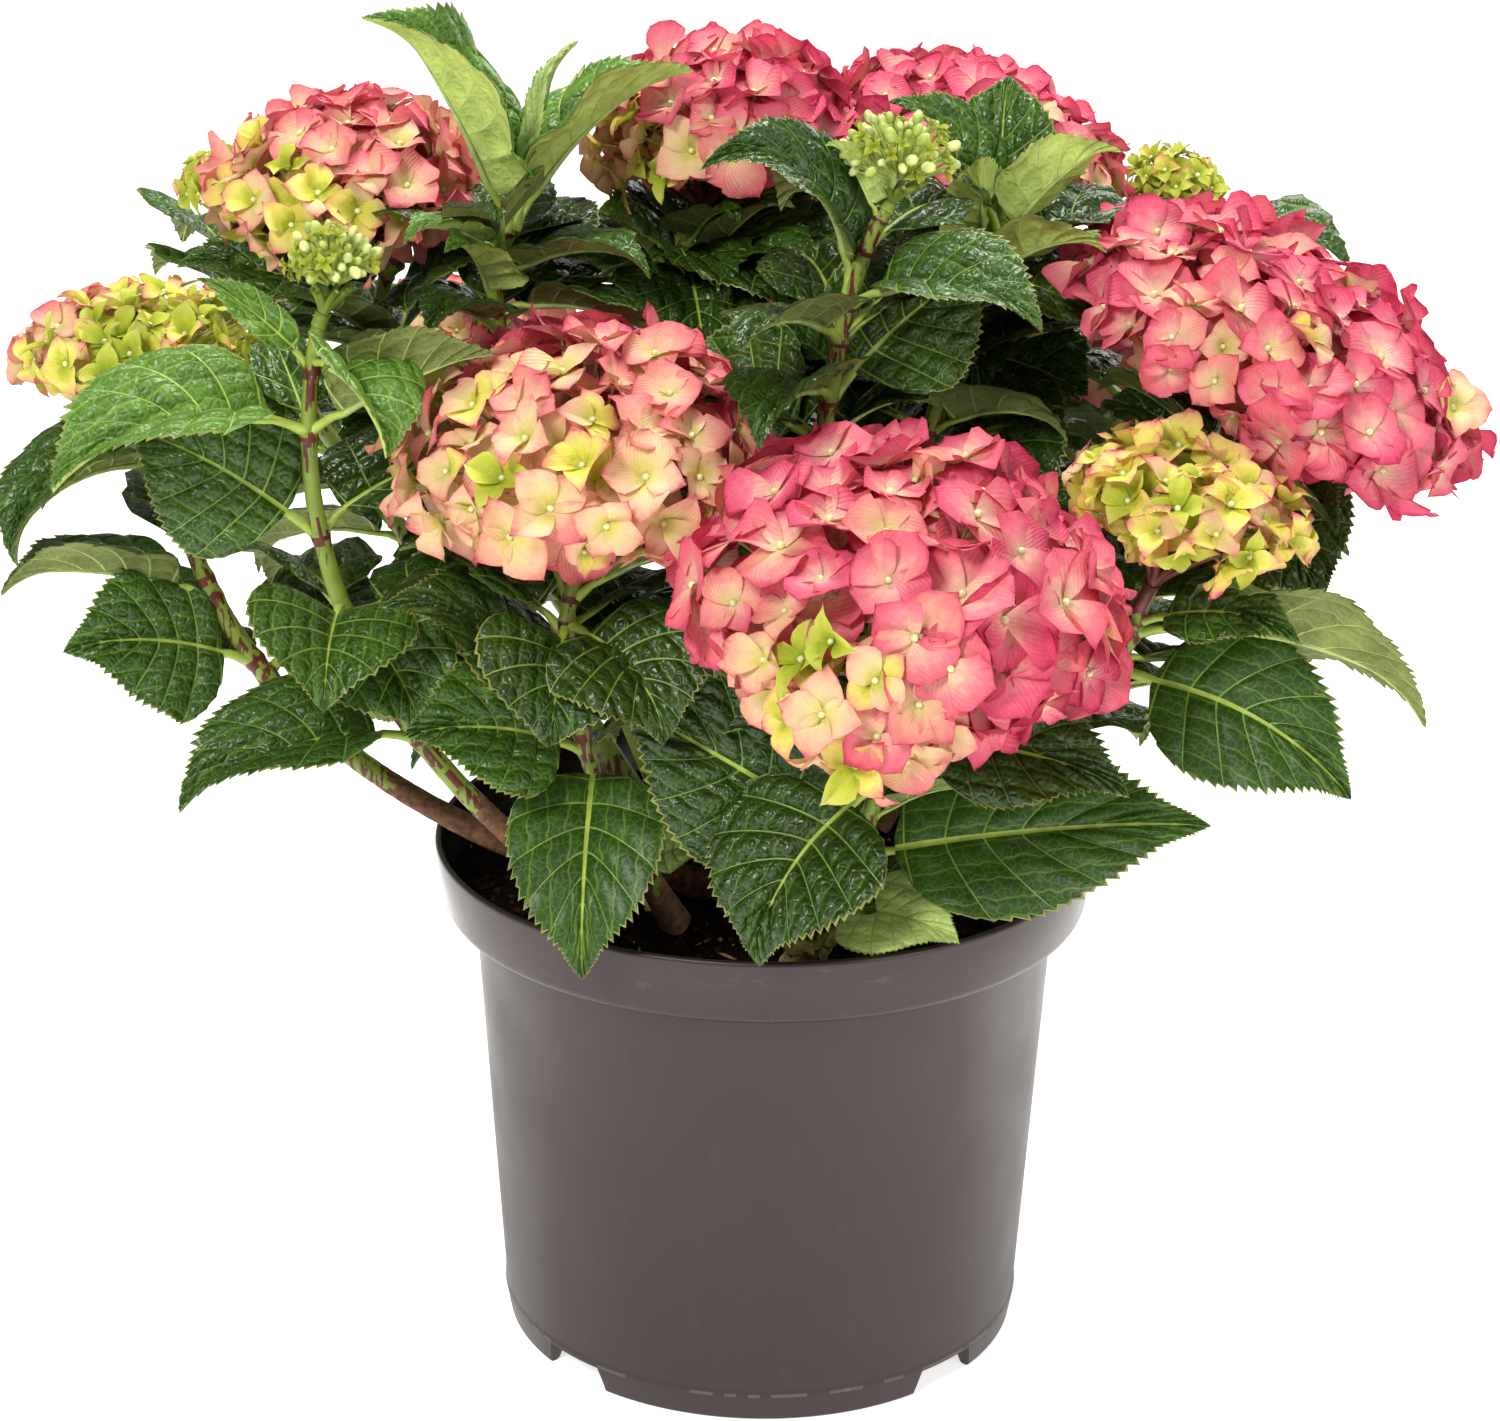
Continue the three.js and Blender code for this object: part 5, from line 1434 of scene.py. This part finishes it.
class HYDRANGEA_OT_soil(bpy.types.Operator):
    """Fills the pot with lumpy peat, crumbs and fibres"""
    bl_idname = "hydrangea.soil"
    bl_label = "Soil"

    def execute(self, context):
        look = context.scene.hydrangea_pot
        rings, around = SOIL_RINGS, SOIL_AROUND
        stock = Stock()
        points = []
        for i in range(1, rings + 1):
            r = SOIL_EDGE_R * (i / rings) ** 0.85
            dip = EDGE_DIP * max(0.0, (i / rings - EDGE_DIP_FROM) / 0.07)
            for k in range(around):
                a = 2 * math.pi * k / around
                x, y = r * math.cos(a), r * math.sin(a)
                points.append((x, y, soil_height(x, y) - dip))
        points.append((0, 0, soil_height(0, 0)))
        tris = end_caps(rings, around)[:around]
        stock.add(points, strips(rings, around, closed=True), 0, tris)
        stock.piece("peat", [earth("moist_peat", look.soil_colour)], "potting_soil", ["soil"])
        crumbs = Stock()
        rng = np.random.RandomState(5)
        for count, inset, size, stretch, zones in CRUMBS:
            add_crumbs(crumbs, rng, count, SOIL_EDGE_R - inset, size, stretch, zones)
        looks = [earth("peat_crumb", linear("#160b06")), earth("bark_crumb", linear("#2e1a0f")),
                 earth("tan_fibre", linear("#8a6a42")), earth("pale_grit", linear("#b79c74"), 0.1, 0.2, 0.7)]
        crumbs.piece("peat_crumbs", looks, "potting_soil", [])
        return {"FINISHED"}


class HYDRANGEA_OT_stump(bpy.types.Operator):
    """Makes the cut old wood that the shoots rise from"""
    bl_idname = "hydrangea.stump"
    bl_label = "Stump"

    def execute(self, context):
        stock = Stock()
        rng = np.random.RandomState(9)
        for line, r0, r1, zone in STUMP_LIMBS:
            line = np.array(line, float)
            line[:, 2] += SOIL_TOP
            rings = int(np.linalg.norm(np.diff(line, axis=0), axis=1).sum() / 1.2) + 4
            path = on_stem(line, np.linspace(0, 1, rings))
            path[1:-1] += rng.uniform(-0.35, 0.35, (rings - 2, 3))
            sides = 28 if r0 > 3 else 10
            twist = np.arange(sides)[None, :] * 2 * np.pi * 5 / sides + np.arange(rings)[:, None] * 0.25
            relief = 1 + 0.1 * np.sin(twist) + 0.06 * np.sin(2.3 * twist)
            relief += rng.uniform(-0.06, 0.06, (rings, sides))
            knots = 1 + 0.12 * np.sin(np.arange(rings) * 0.55 + r0)
            add_tube(stock, path, np.linspace(r0, r1, rings) * knots, sides, zone, relief if r0 > 3 else None)
        bark = [living_tissue("red_brown_bark", linear("#56301f"), 0.8, 2.4, 0.9, 0.6, 0.0, contrast=0.55),
                living_tissue("peeled_stick", linear("#cdbb90"), 0.7, 3, 1.0, 0.2, 0.0, contrast=0.2),
                living_tissue("green_brown_knob", linear("#a2985a"), 0.6, 3, 1.4, 0.4, 0.0, contrast=0.4)]
        stock.piece("old_stump", bark, "old_wood", ["stump"])
        return {"FINISHED"}


class HYDRANGEA_OT_stems(bpy.types.Operator):
    """Grows the boughs and the leafy stems with their joints"""
    bl_idname = "hydrangea.stems"
    bl_label = "Stems"

    def execute(self, context):
        leaves = grown_leaves()
        looks = stem_materials()
        boughs, stems = Stock(), Stock()
        for name, shoot in SHOOTS.items():
            bare = shoot[3]
            add_stem(boughs, name, leaves[name], 0.0, bare, BOUGH_R0, BOUGH_R1, foot=True)
            add_stem(stems, name, leaves[name], bare, 1.0, BOUGH_R1, STEM_R1)
        boughs.piece("boughs", looks, "green_stem", [f"bough_{name}" for name in SHOOTS])
        stems.piece("leafy_stems", looks, "green_stem", [])
        return {"FINISHED"}


FOLIAGE_GROUPS = {
    "foliage_left": ("left", "far_left", "back_left", "far_back_left"),
    "foliage_middle": ("mid_left", "front", "mid", "upper_left"),
    "foliage_right": ("upper_right", "right", "low_right", "far_right"),
    "foliage_rear": ("top", "top_right", "rear_left", "rear", "rear_right"),
}


class HYDRANGEA_OT_foliage(bpy.types.Operator):
    """Grows every leaf: toothed, quilted blades on thick petioles"""
    bl_idname = "hydrangea.foliage"
    bl_label = "Foliage"

    def execute(self, context):
        look = context.scene.hydrangea_plant
        leaves = grown_leaves()
        looks = leaf_materials(look)
        for piece, names in FOLIAGE_GROUPS.items():
            stock = Stock()
            for name in names:
                for leaf in leaves[name]:
                    add_blade(stock, leaf, look)
            stock.piece(piece, looks, "leaf", [f"leaves_{name}" for name in names])
        return {"FINISHED"}


BLOOM_GROUPS = {
    "blossom_pink": ("bloom_pink", ("front", "right")),
    "blossom_pink_rear": ("bloom_pink", ("top", "top_right", "rear", "rear_right")),
    "blossom_cream": ("bloom_cream", ("mid_left", "back_left", "rear_left")),
    "blossom_lime": ("bloom_lime", ("low_right", "far_left", "far_right", "far_back_left")),
}


class HYDRANGEA_OT_blossom(bpy.types.Operator):
    """Makes the flower heads and the green bud clusters"""
    bl_idname = "hydrangea.blossom"
    bl_label = "Blossom"

    def execute(self, context):
        look = context.scene.hydrangea_bloom
        looks = sepal_materials()
        stalks = Stock()
        for piece, (slot, names) in BLOOM_GROUPS.items():
            stock = Stock()
            for name in names:
                add_head(stock, stalks, name, look)
            stock.piece(piece, looks, slot, [f"head_{name}" for name in names])
        buds = Stock()
        for name in BUD_CLUSTERS:
            add_bud_cluster(buds, stalks, name)
        buds.piece("green_buds", looks, "bud_green", [f"head_{name}" for name in BUD_CLUSTERS])
        stalks.piece("flower_stalks", stem_materials(), "green_stem", [])
        return {"FINISHED"}


# ---- stage ----
CAMERA_PLACE = (-5.191, -1189.484, 666.546)
CAMERA_PITCH = 20.322
CAMERA_YAW = -0.02
CAMERA_ROLL = 0.5545
SENSOR_WIDTH = 36.0
# softboxes: name, place and aim in metres, width, power in watts
LIGHTS = (
    ("key", (-0.8, -1.5, 1.6), (0.0, 0.0, 0.32), 0.5, 32),
    ("fill", (1.4, -1.3, 0.9), (0.0, 0.0, 0.3), 0.9, 10),
    ("overhead", (0.15, 0.35, 1.7), (0.0, 0.0, 0.3), 0.55, 24),
    ("back", (0.6, 1.5, 1.0), (0.0, 0.0, 0.3), 0.9, 10),
)
LAMP_COLOUR = (1.0, 0.975, 0.94)
SKY_STRENGTH = 0.34
FLOOR_GLOW = 0.7
FLOOR_REACH = 150


class HYDRANGEA_OT_stage(bpy.types.Operator):
    """Sets the pale floor, the soft lights and the camera"""
    bl_idname = "hydrangea.stage"
    bl_label = "Stage"

    def execute(self, context):
        look = context.scene.hydrangea_stage
        mesh = bpy.data.meshes.new("studio_floor")
        corners = [(x * FLOOR_REACH, y * FLOOR_REACH, 0) for x, y in ((-1, -1), (1, -1), (1, 1), (-1, 1))]
        mesh.from_pydata(corners, [], [(0, 1, 2, 3)])
        floor = bpy.data.objects.new("studio_floor", mesh)
        context.scene.collection.objects.link(floor)
        material, tree = new_material("matt_paper_floor")
        paint = add_node(tree, "ShaderNodeBsdfPrincipled", {
            "Base Color": rgba(look.floor_colour), "Roughness": 0.9, "Specular IOR Level": 0.1,
            "Emission Color": (1, 1, 1, 1), "Emission Strength": FLOOR_GLOW})
        add_node(tree, "ShaderNodeOutputMaterial", {"Surface": paint})
        mesh.materials.append(material)
        world = bpy.data.worlds.new("white_studio")
        world.use_nodes = True
        world.node_tree.nodes.clear()
        sky = add_node(world.node_tree, "ShaderNodeBackground", {"Color": (1, 1, 1, 1),
                                                                "Strength": SKY_STRENGTH})
        add_node(world.node_tree, "ShaderNodeOutputWorld", {"Surface": sky})
        context.scene.world = world
        for name, place, aim, width, power in LIGHTS:
            lamp = bpy.data.lights.new(name, "AREA")
            lamp.energy = power
            lamp.size = width
            lamp.color = LAMP_COLOUR
            box = bpy.data.objects.new(name, lamp)
            box.location = place
            box.rotation_euler = (Vector(aim) - Vector(place)).to_track_quat("-Z", "Y").to_euler()
            context.scene.collection.objects.link(box)
        lens = bpy.data.cameras.new("camera")
        lens.lens = look.lens
        lens.sensor_width = SENSOR_WIDTH
        camera = bpy.data.objects.new("camera", lens)
        turn = (Matrix.Rotation(-CAMERA_YAW * RAD, 4, "Z")
                @ Matrix.Rotation((90 - CAMERA_PITCH) * RAD, 4, "X")
                @ Matrix.Rotation(CAMERA_ROLL * RAD, 4, "Z"))
        camera.matrix_world = Matrix.Translation(Vector(CAMERA_PLACE) * MM) @ turn
        context.scene.collection.objects.link(camera)
        context.scene.camera = camera
        context.scene.view_settings.view_transform = "Standard"
        return {"FINISHED"}


class HYDRANGEA_PT_panel(bpy.types.Panel):
    bl_label = "Hydrangea"
    bl_idname = "HYDRANGEA_PT_panel"
    bl_space_type = "VIEW_3D"
    bl_region_type = "UI"
    bl_category = "Hydrangea"

    def draw(self, context):
        for group in SETTINGS:
            settings = getattr(context.scene, group)
            for name in settings.__annotations__:
                self.layout.prop(settings, name)
        for operator in OPERATORS:
            self.layout.operator(operator.bl_idname)


SETTINGS = {"hydrangea_pot": PotSettings, "hydrangea_plant": PlantSettings, "hydrangea_bloom": BloomSettings,
            "hydrangea_stage": StageSettings}
OPERATORS = (HYDRANGEA_OT_pot, HYDRANGEA_OT_soil, HYDRANGEA_OT_stump, HYDRANGEA_OT_stems,
             HYDRANGEA_OT_foliage, HYDRANGEA_OT_blossom, HYDRANGEA_OT_stage)


def register():
    """Makes the settings, operators and panel known to Blender."""
    for group in SETTINGS.values():
        bpy.utils.register_class(group)
    for name, group in SETTINGS.items():
        setattr(bpy.types.Scene, name, PointerProperty(type=group))
    for operator in (*OPERATORS, HYDRANGEA_PT_panel):
        bpy.utils.register_class(operator)


def unregister():
    """Takes them out again, in the opposite order."""
    for operator in reversed((*OPERATORS, HYDRANGEA_PT_panel)):
        bpy.utils.unregister_class(operator)
    for name in SETTINGS:
        delattr(bpy.types.Scene, name)
    for group in reversed(SETTINGS.values()):
        bpy.utils.unregister_class(group)


def main():
    """Makes every piece in order."""
    register()
    bpy.ops.hydrangea.pot()
    bpy.ops.hydrangea.soil()
    bpy.ops.hydrangea.stump()
    bpy.ops.hydrangea.stems()
    bpy.ops.hydrangea.foliage()
    bpy.ops.hydrangea.blossom()
    bpy.ops.hydrangea.stage()


if __name__ == "__main__":
    main()
